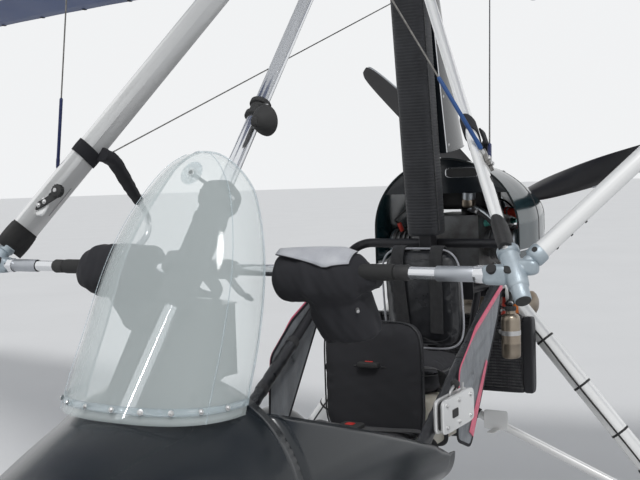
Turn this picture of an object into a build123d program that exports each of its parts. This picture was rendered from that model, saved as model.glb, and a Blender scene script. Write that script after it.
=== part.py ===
from build123d import *
from math import cos, radians, sin, tan
import os

# Two-seat flexwing microlight trike, strapped bar forward as it parks.
# Millimetres. X forward, Y to port (left), Z up. The ground is z = 0 and
# x = 0 lies below the top of the control frame.

# Whole aircraft
half_length = 1800.0
half_span = 4300.0
reach = half_span

# Fits
running_fit = 0.05
seat_gap = 0.3

# Hang point: the pitch pin crosses the mast head, the roll pin lies along x
hang_x = -120.0
pitch_pin_z = 2372.0
roll_pin_z = 2410.0
pitch_pin_radius = 6.0
roll_pin_radius = 8.0

# Wing keel, which slopes up towards the nose
keel_slope = 13.0
frame_top_x = 45.0
wing_keel_z = 2508.0
wing_keel_radius = 25.0
wing_keel_bore = 22.5
wing_keel_tail_x = -1560.0
nose_plate_inset = 48.0
wing_nose_x = 1290.0

# Sail
root_chord = 2450.0
leading_edge_sweep = 26.0
dihedral = 1.6
tip_washout = 6.0
sail_tail_thickness = 9.0

# Control frame
bar_x = 905.0
bar_z = 1154.0
bar_half = 750.0
bar_radius = 14.0
fitting_socket = 60.0
sleeve_length = 112.0
sleeve_step = 2.0
sleeve_end_y = bar_half - fitting_socket
sleeve_start_y = sleeve_end_y - sleeve_length
upright_chord = 92.0
upright_thickness = 26.0
frame_top_half = 36.0
frame_top_z = 2440.0
corner_radius = 21.0
corner_top = 66.0
corner_low = 62.0
corner_flange = 3.5
corner_plug = 4.0
clevis_inset = 44.0
clevis_radius = 9.0
strut_socket = 70.0
strut_socket_radius = 15.0
wing_strut_radius = 19.0
wing_strut_top = (-90.0, 2130.0)
wire_radius = 2.0
front_tang_x = 1220.0
rear_tang_x = -1000.0
tang_half = 5.0
tang_width = 18.0
tang_depth = 8.0
tang_length = 34.0
tang_fraction = 0.17
bracket_fraction = 0.12
bracket_boss_radius = 27.0
bracket_reach = 88.0
bracket_width = 20.0
bracket_thickness = 6.0
bracket_knob_radius = 17.0
bracket_knob_depth = 20.0
strap_fraction = 0.235
strap_width = 34.0
strap_thickness = 3.0
strap_loop = 17.0
strap_slot = 9.0
training_radius = 11.0
training_bend_radius = 46.0
training_bends = ((344.0, 652.0, 1262.0), (358.0, 652.0, 1196.0), (446.0, 652.0, 1146.0))

# Trike keel, mast and front strut
keel_z = 485.0
keel_height = 60.0
keel_width = 50.0
keel_rear_x = -700.0
keel_front_x = 1540.0
mast_foot_x = -420.0
mast_top_x = -222.0
mast_top_z = 2300.0
mast_depth = 60.0
mast_width = 45.0
pad_centre_x = 6.0
pad_depth = 100.0
strut_radius = 19.0
strut_foot = (1485.0, 0.0, 586.0)
strut_head = (43.0, 0.0, 2316.0)
pad_radius = 38.0
pad_low_z = 1085.0
pad_high_z = 1345.0
mirror_clamp_z = 1540.0
mirror_radius = 40.0

# Steering
steer_rake = 15.0
steer_x = 1380.0
stem_radius = 15.0
head_tube_radius = 26.0
fork_leg_y = 74.0
fork_leg_radius = 14.0
steering_bar_half = 190.0
steering_bar_radius = 11.0
steering_peg_length = 95.0
crown_low = -84.0

# Wheels
front_axle = (1420.0, 0.0, 178.0)
front_tyre_width = 96.0
rear_axle_x = -640.0
rear_wheel_radius = 200.0
rear_tyre_width = 116.0
half_track = 850.0
rim_radius = 102.0
tyre_crown = 14.0
axle_radius = 10.0
carrier_inset = 150.0
carrier_y = half_track - carrier_inset
carrier_thickness = 24.0
spat_half_width = 84.0
spat_wall = 4.0
spat_clearance = 26.0
spat_tail = 360.0

# Pod
pod_wall = 5.0
pod_floor_z = keel_z - keel_height / 2 - pod_wall - seat_gap
cockpit_front_x = 1070.0
cockpit_front_z = 858.0
cockpit_rear_x = 250.0
cockpit_rear_z = 585.0

# Windscreen
screen_thickness = 4.0

# Instruments
binnacle_face_x = 990.0
binnacle_top_z = 1086.0
binnacle_length = 200.0
binnacle_width = 230.0
dial_radius = 31.0
dial_pitch = 72.0
dial_depth = 5.0

# Engine and propeller
rail_z = 960.0
rail_y = 120.0
rail_radius = 15.0
rail_rear_x = -900.0
post_x = -505.0
post_radius = 13.0
plate_half = 31.0
plate_thickness = 8.0
engine_bottom_z = rail_z + rail_radius + seat_gap
crankcase_half = 125.0
crankcase_top = 1215.0
crankcase_front_x = -505.0
crankcase_rear_x = -880.0
cylinder_xs = (-600.0, -770.0)
cylinder_z = 1110.0
cylinder_end = 222.0
barrel_radius = 46.0
fin_radius = 58.0
fin_count = 4
fin_thickness = 5.0
rocker_cover = 12.0
leg_cross_x = -590.0
leg_cross_half = 200.0
leg_cross_drop = 26.0
leg_radius = 32.0
cowl_front_x = -500.0
cowl_rear_x = -965.0
cowl_middle_x = -700.0
cowl_wall = 4.0
cowl_half_width = 275.0
cowl_rear_half_width = 215.0
cowl_low_z = 1040.0
cowl_side_z = 1170.0
cowl_crown_z = 1418.0
cowl_rear_crown_z = 1325.0
intake_y = 72.0
intake_drop = 50.0
intake_width = 118.0
intake_height = 30.0
prop_x = -1100.0
prop_z = 1240.0
prop_radius = 850.0
prop_angles = (136.3, 16.3, 256.3)
prop_hub_radius = 62.0
prop_shaft_radius = 20.0
gearbox_drop = 30.0
gearbox_radius = 88.0
gearbox_rear_x = -1015.0

# Oil can: x, y, foot and shoulder height
oil_can = (-370.0, 285.0, 742.0, 890.0)
oil_can_radius = 32.0

# Seats
seat_half_width = 190.0
seat_tube_y = 300.0
seat_foot_x = 560.0
panel_thickness = 6.0
seat_tube_radius = 16.0
throttle_place = (146.0, 372.0, 655.0, 752.0)
throttle_depth = 32.0
throttle_knob_radius = 12.0


def rod(start, end, radius, bore=0.0):
    """A round bar or tube from one point to another."""
    run = Vector(*end) - Vector(*start)
    plane = Plane(origin=start, z_dir=run)
    body = extrude(plane * Circle(radius), run.length)
    if bore > 0:
        body -= extrude(plane * Circle(bore), run.length)
    return body


def block(x0, x1, y0, y1, z0, z1):
    """A box between two corners."""
    size = (abs(x1 - x0), abs(y1 - y0), abs(z1 - z0))
    return Pos((x0 + x1) / 2, (y0 + y1) / 2, (z0 + z1) / 2) * Box(*size)


def soft_block(x0, x1, y0, y1, z0, z1, radius):
    """A box with all its edges rounded."""
    body = block(x0, x1, y0, y1, z0, z1)
    return fillet(body.edges(), radius)


def outline(points, plane, depth):
    """A closed polygon in a plane, extruded both ways by half the depth."""
    face = make_face(plane * Polyline(*points, close=True))
    return extrude(face, depth / 2, both=True)


def pair(body):
    """The part on the port side and its mirror image on the starboard side."""
    return Compound([body.solid(), mirror(body, about=Plane.XZ).solid()])


def largest(body):
    """The largest solid of a shape that a cut has left in pieces."""
    return max(body.solids(), key=lambda solid: solid.volume)


def mast_x(z):
    """The mast's centre line, fore and aft, at a height."""
    foot_z = keel_z + keel_height / 2
    return mast_foot_x + (mast_top_x - mast_foot_x) * (z - foot_z) / (mast_top_z - foot_z)


def strut_x(z):
    """The front strut's centre line, fore and aft, at a height."""
    rise = strut_head[2] - strut_foot[2]
    return strut_foot[0] + (strut_head[0] - strut_foot[0]) * (z - strut_foot[2]) / rise


def wing_keel_at(x):
    """The height of the wing keel's centre line."""
    return wing_keel_z + (x - frame_top_x) * tan(radians(keel_slope))


# Wing

def sail_station(y):
    """Leading edge x and z, chord and nose-up angle of the sail at a span station."""
    share = y / half_span
    tip_nose_x = wing_nose_x - half_span * tan(radians(leading_edge_sweep))
    tip_chord = (half_length + tip_nose_x) / cos(radians(keel_slope - tip_washout))
    nose_x = wing_nose_x - y * tan(radians(leading_edge_sweep))
    chord = root_chord + (tip_chord - root_chord) * share
    root_base = wing_keel_at(wing_nose_x) + (wing_keel_radius + seat_gap) / cos(radians(keel_slope))
    sweep_drop = (wing_nose_x - nose_x) * tan(radians(keel_slope))
    nose_z = root_base - sweep_drop + y * tan(radians(dihedral))
    return nose_x, nose_z, chord, keel_slope - tip_washout * share


def sail_section(y):
    """One rib of the sail: a double surface ahead and a single skin behind."""
    nose_x, nose_z, chord, angle = sail_station(y)

    def at(back, up):
        turn = radians(angle)
        x = nose_x - back * chord * cos(turn) + up * chord * sin(turn)
        z = nose_z - back * chord * sin(turn) - up * chord * -cos(turn)
        return (x, y, z)

    tail = sail_tail_thickness / chord
    low_nose, high_nose = at(0.02, 0.0), at(0.035, 0.060)
    crest_end, tail_top = at(0.58, 0.030), at(1.0, tail)
    tail_low, join_low = at(1.0, 0.0), at(0.60, 0.0)
    return Face(Wire([
        ThreePointArc(low_nose, at(0.0, 0.028), high_nose),
        ThreePointArc(high_nose, at(0.25, 0.112), crest_end),
        Line(crest_end, tail_top),
        Line(tail_top, tail_low),
        Line(tail_low, join_low),
        Line(join_low, low_nose),
    ]))


def sail():
    """The port half of the sail, from the keel to the tip."""
    return loft([sail_section(0.0), sail_section(half_span)], ruled=True)


def wing_keel():
    """The keel tube, open at the tail, with the nose plates."""
    tail = (wing_keel_tail_x, 0, wing_keel_at(wing_keel_tail_x))
    nose_end = wing_nose_x - nose_plate_inset
    nose = (nose_end, 0, wing_keel_at(nose_end))
    body = rod(tail, nose, wing_keel_radius)
    for x in (front_tang_x, rear_tang_x):
        z = wing_keel_at(x)
        body += block(x - 14, x + 14, -tang_half, tang_half, z - wing_keel_radius - 22, z)
    return body - rod(tail, nose, wing_keel_bore)


def bar_point(share):
    """A point on the port upright's axis: 0 at the bar, 1 at the frame's top."""
    return (
        bar_x + (frame_top_x - bar_x) * share,
        bar_half + (frame_top_half - bar_half) * share,
        bar_z + (frame_top_z - bar_z) * share,
    )


def upright_plane(share):
    """The plane across the port upright, its x along the chord, forward."""
    axis = Vector(*bar_point(1.0)) - Vector(*bar_point(0.0))
    chord_dir = Vector(0, 1, 0).cross(axis)
    return Plane(origin=bar_point(share), x_dir=chord_dir, z_dir=axis)


def upright_section():
    """The streamlined section of an upright, round nosed and thin tailed."""
    half, nose = upright_thickness / 2, upright_chord * 0.40
    tail = upright_chord - nose
    cap, edge = nose - 6, half * 0.55
    wire = Wire([
        ThreePointArc((0, half), (nose * 0.5, half * 0.9), (cap, edge)),
        ThreePointArc((cap, edge), (nose, 0), (cap, -edge)),
        ThreePointArc((cap, -edge), (nose * 0.5, -half * 0.9), (0, -half)),
        ThreePointArc((0, -half), (-tail * 0.55, -half * 0.62), (-tail, -1.0)),
        Line((-tail, -1.0), (-tail, 1.0)),
        ThreePointArc((-tail, 1.0), (-tail * 0.55, half * 0.62), (0, half)),
    ])
    return Face(wire)


def upright():
    """The port upright, a streamlined tube."""
    low, high = 0.045, 0.985
    run = Vector(*bar_point(high)) - Vector(*bar_point(low))
    return extrude(upright_plane(low) * upright_section(), run.length, dir=run)


def basebar():
    """The tube that the pilot holds, with its satin sleeves and end ring."""
    end = bar_half - corner_radius - seat_gap
    body = rod((bar_x, -end, bar_z), (bar_x, end, bar_z), bar_radius)
    for side in (-1, 1):
        inner = (bar_x, side * sleeve_start_y, bar_z)
        outer = (bar_x, side * sleeve_end_y, bar_z)
        body += rod(inner, outer, bar_radius + sleeve_step)
    return body


def corner_fitting():
    """The cast knuckle where bar, upright and wing strut meet, port side."""
    centre = (bar_x, bar_half, bar_z)
    axis = (Vector(*bar_point(1.0)) - Vector(*bar_point(0.0))).normalized()
    top = Vector(*centre) + axis * corner_top
    low = Vector(*centre) - axis * corner_low
    body = rod(tuple(low), tuple(top), corner_radius)
    for start in (-corner_low + 6, corner_radius + 4, corner_top - 10):
        ring_low = Vector(*centre) + axis * start
        body += rod(tuple(ring_low), tuple(ring_low + axis * 8), corner_radius + corner_flange)
    body += rod(tuple(low - axis * corner_plug), tuple(low), corner_radius - corner_plug)
    body += rod(centre, wing_strut_end(strut_socket), strut_socket_radius)
    body += rod(wing_strut_end(strut_socket - 22), wing_strut_end(strut_socket), wing_strut_radius + 2)
    body += rod((bar_x, sleeve_end_y + 3, bar_z), centre, bar_radius + 5)
    pin_y = bar_half - clevis_inset
    pin_reach = bar_radius + 10
    body += rod((bar_x - pin_reach, pin_y, bar_z), (bar_x + pin_reach, pin_y, bar_z), clevis_radius)
    body -= rod((bar_x, 0, bar_z), (bar_x, bar_half - corner_radius, bar_z), bar_radius + seat_gap)
    return body


def wing_strut_end(distance):
    """A point out along the port wing strut from the bar's corner."""
    run = wing_strut_run()
    unit = run.normalized()
    return (
        bar_x + unit.X * distance,
        bar_half + unit.Y * distance,
        bar_z + unit.Z * distance,
    )


def wing_strut_run():
    """From the bar's corner to the strut's top, inside the sail."""
    x, y = wing_strut_top
    nose_x, nose_z, chord, angle = sail_station(y)
    z = nose_z - (nose_x - x) * tan(radians(angle)) + 30
    return Vector(x - bar_x, y - bar_half, z - bar_z)


def wing_strut(port_sail):
    """The port wing strut, cut off at the sail's under-surface."""
    inner = wing_strut_end(strut_socket + seat_gap)
    body = rod(inner, wing_strut_end(wing_strut_run().length), wing_strut_radius)
    body -= port_sail
    return largest(body)


def frame_head():
    """The channel that joins the uprights' tops to the wing keel."""
    low = frame_top_z - 10
    body = block(frame_top_x - 30, frame_top_x + 30, -22, 22, low, wing_keel_z)
    body -= rod((-400, 0, wing_keel_at(-400)), (400, 0, wing_keel_at(400)), wing_keel_radius + seat_gap)
    return largest(body)


def hang_bracket():
    """Two plates from the wing keel down to the roll pin."""
    plates = []
    keel_cut = rod((-600, 0, wing_keel_at(-600)), (400, 0, wing_keel_at(400)), wing_keel_radius + seat_gap)
    for step in (-38, 38):
        x = hang_x + step
        plate = block(x - 6, x + 6, -34, 34, roll_pin_z - 20, wing_keel_at(x) + wing_keel_radius - 6)
        plate -= keel_cut
        plate -= rod((x - 20, 0, roll_pin_z), (x + 20, 0, roll_pin_z), roll_pin_radius + running_fit)
        plates.append(largest(plate))
    return Compound(plates)


def hang_block():
    """The universal joint between mast head and wing."""
    body = block(hang_x - 24, hang_x + 24, -17, 17, pitch_pin_z - 16, roll_pin_z + 16)
    body += rod((hang_x - 52, 0, roll_pin_z), (hang_x + 52, 0, roll_pin_z), roll_pin_radius)
    pin_hole = pitch_pin_radius + running_fit
    body -= rod((hang_x, -40, pitch_pin_z), (hang_x, 40, pitch_pin_z), pin_hole)
    return body


def bar_grips():
    """Foam grips round the bar."""
    grips = []
    for y0, y1 in ((-480, -200), (200, 480)):
        grips.append(rod((bar_x, y0, bar_z), (bar_x, y1, bar_z), 18.0, bar_radius + seat_gap).solid())
    return Compound(grips)


def bar_strap():
    """The padded sleeve by which the bar is strapped to the front strut."""
    return rod((bar_x, -98, bar_z), (bar_x, 62, bar_z), 23.0, bar_radius + seat_gap)


def hand_mitt():
    """The port hand mitt, a soft cover hung on the bar."""
    body = soft_block(bar_x - 90, bar_x + 34, 168, 440, bar_z - 150, bar_z + 44, 30)
    body -= rod((bar_x, 100, bar_z), (bar_x, 500, bar_z), 18.0 + seat_gap)
    body -= soft_block(bar_x - 140, bar_x + 14, 190, 418, bar_z - 120, bar_z - 26, 14)
    return body


def upright_bracket():
    """The starboard bracket on its round boss, drawn to port and mirrored: a flat arm with a ribbed knob."""
    plane = upright_plane(bracket_fraction)
    seat = -upright_thickness / 2 - seat_gap
    boss_at = plane.from_local_coords(Vector(0, seat, 0))
    boss_plane = Plane(origin=boss_at, x_dir=plane.x_dir, z_dir=-plane.y_dir)
    body = extrude(boss_plane * Circle(bracket_boss_radius), 5)
    root = plane.from_local_coords(Vector(8, seat - 3, 0))
    arm_plane = Plane(origin=root, x_dir=(-0.10, -0.90, 0.42), z_dir=(0.974, 0.0, 0.232))
    arm = RectangleRounded(bracket_reach, bracket_width, bracket_width / 2 - 1)
    body += extrude(arm_plane * Pos(bracket_reach / 2 - 10, 0) * arm, bracket_thickness)
    knob_plane = arm_plane * Pos(bracket_reach - 20, 0, bracket_thickness)
    body += extrude(knob_plane * Circle(bracket_knob_radius), bracket_knob_depth)
    body += extrude(knob_plane * Circle(bracket_knob_radius * 0.36), bracket_knob_depth + 4)
    for groove in PolarLocations(bracket_knob_radius + 1.4, 12):
        body -= extrude(knob_plane * groove * Circle(2.6), bracket_knob_depth)
    body -= extrude(plane * offset(upright_section(), amount=seat_gap), 120, dir=plane.z_dir, both=True)
    return mirror(body, about=Plane.XZ).solid()


def strap_band():
    """The port band of webbing round the upright, with a loop behind the upright's thin tail."""
    plane = upright_plane(strap_fraction)
    outer = offset(upright_section(), amount=seat_gap + strap_thickness)
    room = offset(upright_section(), amount=seat_gap)
    ring = Ellipse(strap_loop, upright_thickness / 2) - Ellipse(strap_loop - strap_thickness, strap_slot)
    ring = Pos(strap_thickness - 0.6 * upright_chord - strap_loop, 0) * ring
    band, loop, hollow = (
        extrude(plane * section, strap_width, dir=plane.z_dir) for section in (outer, ring, room))
    return band + loop - hollow


def training_bar():
    """The starboard hand bar of the rear seat, drawn to port and mirrored: a hooked tube on its band."""
    start = upright_plane(strap_fraction).from_local_coords(
        Vector(-0.6 * upright_chord - training_radius, 0, strap_width / 2))
    points = [tuple(start), *training_bends]
    path = FilletPolyline(*points, radius=training_bend_radius)
    tube_plane = Plane(origin=points[0], z_dir=path % 0)
    body = sweep(tube_plane * Circle(training_radius), path=path)
    middle = Pos(-0.1 * upright_chord, 0)
    sleeve_plane = upright_plane(strap_fraction) * middle
    outer = RectangleRounded(upright_chord + 30, upright_thickness + 16, 10)
    room = Rectangle(upright_chord + 2 * seat_gap, upright_thickness + 2 * seat_gap)
    clamp = extrude(sleeve_plane * outer, strap_width)
    body += clamp
    body -= extrude(upright_plane(strap_fraction - 0.04) * middle * room, 200)
    return mirror(body, about=Plane.XZ).solid()


def wires(keel_x, chord_x):
    """The port and starboard flying wires and their tangs, from the uprights to the wing keel."""
    face = upright_thickness / 2 + seat_gap
    plane = upright_plane(tang_fraction)
    seat = face + tang_depth / 2
    tang = extrude(plane * Pos(chord_x, seat) * Rectangle(tang_width, tang_depth), tang_length)
    start = plane.from_local_coords(Vector(chord_x, seat, tang_length / 2))
    end = (keel_x, tang_half + wire_radius + seat_gap, wing_keel_at(keel_x) - wing_keel_radius - 14)
    return pair(tang + rod(tuple(start), end, wire_radius))


# Trike frame

def trike_keel():
    """The lower keel with the steering head welded into its front."""
    top = keel_z + keel_height / 2
    body = block(keel_rear_x, keel_front_x, -keel_width / 2, keel_width / 2, keel_z - keel_height / 2, top)
    frame = steer_frame()
    body += extrude(frame.offset(-62) * Circle(head_tube_radius), 132)
    body -= extrude(frame.offset(-200) * Circle(stem_radius + running_fit), 400)
    return body


def steer_frame():
    """The steering axis, up and aft, through the keel's centre."""
    lean = radians(steer_rake)
    up = (-sin(lean), 0, cos(lean))
    forward = (cos(lean), 0, sin(lean))
    return Plane(origin=(steer_x, 0, keel_z), x_dir=forward, z_dir=up)


def mast_plane(z):
    """The plane across the mast at a height, its x forward."""
    run = Vector(mast_x(z + 100) - mast_x(z), 0, 100)
    return Plane(origin=(mast_x(z), 0, z), x_dir=(run.Z, 0, -run.X), z_dir=run)


def mast():
    """The box-section mast from the keel to the mast head."""
    foot_z = keel_z + keel_height / 2
    body = extrude(mast_plane(foot_z - 30) * RectangleRounded(mast_depth, mast_width, 8), mast_top_z)
    return body & block(-1000, 500, -100, 100, foot_z, mast_top_z - 20)


def mast_head():
    """The head that joins mast and front strut and carries the pitch pin."""
    low = mast_top_z - 20
    body = block(mast_top_x - 44, 30, -26, 26, low, low + 58)
    lugs = block(hang_x - 26, hang_x + 26, -30, 30, low + 40, pitch_pin_z + 18)
    lugs -= block(hang_x - 40, hang_x + 40, -18, 18, low + 58, pitch_pin_z + 60)
    body += lugs
    body += rod((hang_x, -36, pitch_pin_z), (hang_x, 36, pitch_pin_z), pitch_pin_radius)
    body -= rod(strut_foot, strut_head, strut_radius + seat_gap)
    return body


def front_strut():
    """The polished tube from the nose of the keel up to the mast head."""
    body = rod(strut_foot, strut_head, strut_radius)
    foot_x, foot_z = strut_foot[0], strut_foot[2]
    foot_block = block(foot_x - 34, foot_x + 34, -22, 22, keel_z + keel_height / 2, foot_z + 16)
    return body + foot_block


def strut_pad():
    """The foam pad round the front strut, with its bulkier top bracket."""
    low = (strut_x(pad_low_z), 0, pad_low_z)
    high = (strut_x(pad_high_z), 0, pad_high_z)
    body = rod(low, high, pad_radius)
    collar_z = pad_high_z - 48
    body += rod((strut_x(collar_z), 0, collar_z), high, pad_radius + 10)
    body -= rod(strut_foot, strut_head, strut_radius + seat_gap)
    return body


# Pod, screen and instruments

def pod_section(x, half_width, low, side, top, wall=0.0):
    """One frame of the pod: flat floor, round sides and a crowned top."""
    half = half_width - wall
    floor = half * 0.62
    base = low + wall
    bilge_y, bilge_z = half * 0.95, base + (side - base) * 0.38
    return Face(Wire([
        Line((x, -floor, base), (x, floor, base)),
        ThreePointArc((x, floor, base), (x, bilge_y, bilge_z), (x, half, side)),
        ThreePointArc((x, half, side), (x, 0, top - wall), (x, -half, side)),
        ThreePointArc((x, -half, side), (x, -bilge_y, bilge_z), (x, -floor, base)),
    ]))


# x, half width, floor, widest height, crown
pod_frames = (
    (half_length, 46, 560, 598, 636),
    (1710, 136, 490, 600, 710),
    (1560, 212, pod_floor_z, 614, 778),
    (1230, 322, pod_floor_z, 640, 884),
    (1040, 345, pod_floor_z, 650, 946),
    (640, 350, pod_floor_z, 640, 930),
    (220, 322, pod_floor_z, 600, 880),
)


def pod_solid(wall=0.0):
    """The pod's outer form, or its inside when a wall is given."""
    sections = []
    for index, (x, half_width, low, side, top) in enumerate(pod_frames):
        shift = 0.0
        if wall > 0 and index == 0:
            shift = -wall
        if wall > 0 and index == len(pod_frames) - 1:
            shift = -20.0
        sections.append(pod_section(x + shift, half_width, low, side, top, wall))
    return loft(sections, ruled=True)


def cockpit_cut():
    """All that is open above the pod's side line."""
    side_line = (
        (cockpit_rear_x - 100, cockpit_rear_z - 40),
        (cockpit_rear_x, cockpit_rear_z),
        (cockpit_front_x - 60, cockpit_front_z - 40),
        (cockpit_front_x, cockpit_front_z),
        (cockpit_front_x - 14, 1100),
        (cockpit_rear_x - 100, 1100),
    )
    widest = max(half_width for x, half_width, low, side, top in pod_frames)
    return outline(side_line, Plane.XZ, 2 * widest + 40)


def pod():
    """The nose pod: a thin shell, open above the seats and at the back."""
    body = pod_solid() - pod_solid(pod_wall) - cockpit_cut()
    frame = steer_frame()
    body -= extrude(frame.offset(-120) * Circle(head_tube_radius + 6), 160)
    body -= rod(strut_foot, strut_head, strut_radius + seat_gap)
    return largest(body)


# height, edge x, front x, half width
screen_rows = (
    (800, 1225, 1345, 262),
    (920, 1150, 1270, 250),
    (1040, 1055, 1208, 222),
    (1165, 975, 1150, 196),
    (1290, 935, 1082, 160),
    (1370, 925, 1025, 112),
    (1425, 925, 965, 40),
)


def windscreen(outer_pod):
    """The tall clear screen, bowed forward round the strut."""
    sections = []
    for z, edge_x, front_x, half in screen_rows:
        inner_half, inner_front = half - screen_thickness, front_x - screen_thickness
        sections.append(Face(Wire([
            ThreePointArc((edge_x, -half, z), (front_x, 0, z), (edge_x, half, z)),
            Line((edge_x, half, z), (edge_x, inner_half, z)),
            ThreePointArc((edge_x, inner_half, z), (inner_front, 0, z), (edge_x, -inner_half, z)),
            Line((edge_x, -inner_half, z), (edge_x, -half, z)),
        ])))
    body = loft(sections, ruled=True) - outer_pod
    return largest(body)


def windscreen_stay():
    """The rod and disc that hold the screen off the strut."""
    z = pad_high_z - 4
    body = rod((strut_x(z), 0, z), (1000.0, 0, z + 37), 4.0)
    body -= strut_pad()
    body -= rod(strut_foot, strut_head, strut_radius + seat_gap)
    return largest(body)


def binnacle(outer_pod):
    """The instrument binnacle behind the strut."""
    face_x, top_z = binnacle_face_x, binnacle_top_z
    front_x = face_x + binnacle_length
    profile = (
        (face_x, top_z - 186),
        (face_x, top_z),
        (face_x + 45, top_z),
        (front_x, top_z - 206),
        (front_x, top_z - 226),
    )
    body = outline(profile, Plane.XZ, binnacle_width)
    for y in (-dial_pitch, 0.0, dial_pitch):
        dial_z = top_z - dial_radius - 16
        body += rod((face_x - dial_depth, y, dial_z), (face_x, y, dial_z), dial_radius)
    body -= outer_pod
    body -= rod(strut_foot, strut_head, strut_radius + 4)
    low_z = pad_low_z - 20
    body -= rod((strut_x(low_z), 0, low_z), (strut_x(pad_high_z), 0, pad_high_z), pad_radius + 5)
    return largest(body)


# Seats

def seat_frame():
    """A bent hoop of tube from side to side, a cross tube and the front seat pan."""
    front_z = keel_z + keel_height / 2 + seat_tube_radius
    rear_z = 1125.0
    rear_x = mast_x(rear_z) - mast_depth / 2 - seat_tube_radius - 2 * seat_gap
    port_foot = (seat_foot_x, seat_tube_y, front_z)
    hoop = (
        port_foot,
        (rear_x, seat_tube_y, rear_z),
        (rear_x, -seat_tube_y, rear_z),
        (seat_foot_x, -seat_tube_y, front_z),
    )
    path = FilletPolyline(*hoop, radius=60)
    body = sweep(Plane(origin=port_foot, z_dir=path % 0) * Circle(seat_tube_radius), path=path)
    cross_x = seat_foot_x - 26
    body += rod((cross_x, -seat_tube_y, front_z), (cross_x, seat_tube_y, front_z), seat_tube_radius - 2)
    pan_z = keel_z + keel_height / 2
    body += block(70, cross_x, -seat_half_width, seat_half_width, pan_z, pan_z + 8)
    return body


def front_seat_cushion():
    """The pilot's cushion."""
    pan_z = keel_z + keel_height / 2 + 8 + seat_gap
    return soft_block(120, 520, -seat_half_width, seat_half_width, pan_z, pan_z + 78, 22)


def fuel_tank():
    """The tank between the seats, below the rear cushion."""
    base = keel_z + keel_height / 2
    return block(-300, 40, -170, 170, base, 680)


def rear_seat_cushion():
    """The passenger's cushion on the tank."""
    return soft_block(-312, 50, -180, 180, 680 + seat_gap, 765, 22)


def front_seat_back():
    """The pilot's backrest, ahead of the tank."""
    return soft_block(50 + seat_gap, 112, -180, 180, 540, 930, 20)


def rear_seat_back():
    """The passenger's backrest on the mast."""
    face = mast_depth / 2 + seat_gap
    body = soft_block(face, face + 72, -150, 150, 0, 356, 24)
    return mast_plane(774).location * body


def side_panel():
    """The fabric side panel under the port seat tube."""
    points = ((-198, 1007), (43, 898), (175, 801), (190, 680), (196, 600), (100, 560), (-146, 902))
    face_y = seat_tube_y + seat_tube_radius + seat_gap
    return Pos(0, face_y + panel_thickness / 2, 0) * outline(points, Plane.XZ, panel_thickness)


def throttle_box():
    """The hand throttle and switch box on the port seat tube."""
    inner_y = seat_tube_y + seat_tube_radius + panel_thickness + 2 * seat_gap
    x0, x1, low, high = throttle_place
    middle_x, middle_y = (x0 + x1) / 2, inner_y + throttle_depth / 2
    body = block(x0, x1, inner_y, inner_y + throttle_depth, low, high)
    body = fillet(body.edges().filter_by(Axis.Y), 12)
    body -= block(x0 + 30, x1 - 30, middle_y - 3, middle_y + 3, high - 10, high)
    body += rod((middle_x, middle_y, high - 12), (middle_x - 10, middle_y, high + 20), 2.9)
    body += Pos(middle_x - 10, middle_y, high + 24) * Sphere(throttle_knob_radius)
    return body


# Engine bay

def engine_mount():
    """Rails, posts and the cross tube that carries the rear legs."""
    low, high = rail_z - plate_half, rail_z + plate_half
    lean = (mast_top_x - mast_foot_x) / (mast_top_z - keel_z - keel_height / 2)
    plate_x = mast_x(low) - mast_depth / 2 * (1 + lean * lean) ** 0.5 - seat_gap
    plate_half_width = rail_y + rail_radius + 5
    body = block(plate_x - plate_thickness, plate_x, -plate_half_width, plate_half_width, low, high)
    for side in (-1, 1):
        y = side * rail_y
        body += rod((plate_x - plate_thickness / 2, y, rail_z), (rail_rear_x, y, rail_z), rail_radius)
        body += rod((post_x, side * 32, keel_z + 20), (post_x, y, rail_z), post_radius)
        body += rod((keel_rear_x + 10, side * 10, keel_z + 20), (rail_rear_x + 20, y, rail_z), post_radius)
    cross_z = rail_z - leg_cross_drop
    body += rod((leg_cross_x, -leg_cross_half, cross_z), (leg_cross_x, leg_cross_half, cross_z), 16)
    body -= block(keel_rear_x - 5, 0, -keel_width / 2, keel_width / 2, 400, keel_z + keel_height / 2)
    return body


def engine_block():
    """Crankcase and four flat, finned cylinders with their rocker covers."""
    half = crankcase_half
    body = block(crankcase_rear_x, crankcase_front_x, -half, half, engine_bottom_z, crankcase_top)
    pitch = (cylinder_end - half) / (fin_count + 1)
    for x in cylinder_xs:
        body += rod((x, -cylinder_end, cylinder_z), (x, cylinder_end, cylinder_z), barrel_radius)
        for side in (-1, 1):
            cover = side * (cylinder_end + rocker_cover)
            body += rod((x, side * cylinder_end, cylinder_z), (x, cover, cylinder_z), fin_radius - 6)
            for index in range(fin_count):
                y = side * (half + pitch * (index + 1))
                body += rod((x, y, cylinder_z), (x, y + side * fin_thickness, cylinder_z), fin_radius)
    return body


def gearbox():
    """The reduction gearbox and the propeller shaft."""
    low_z = prop_z - gearbox_drop
    front_x = crankcase_rear_x - seat_gap
    body = rod((front_x, 0, low_z), (gearbox_rear_x, 0, low_z), gearbox_radius)
    body += rod((gearbox_rear_x + 15, 0, prop_z), (prop_x - 30, 0, prop_z), prop_shaft_radius)
    return body


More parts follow.
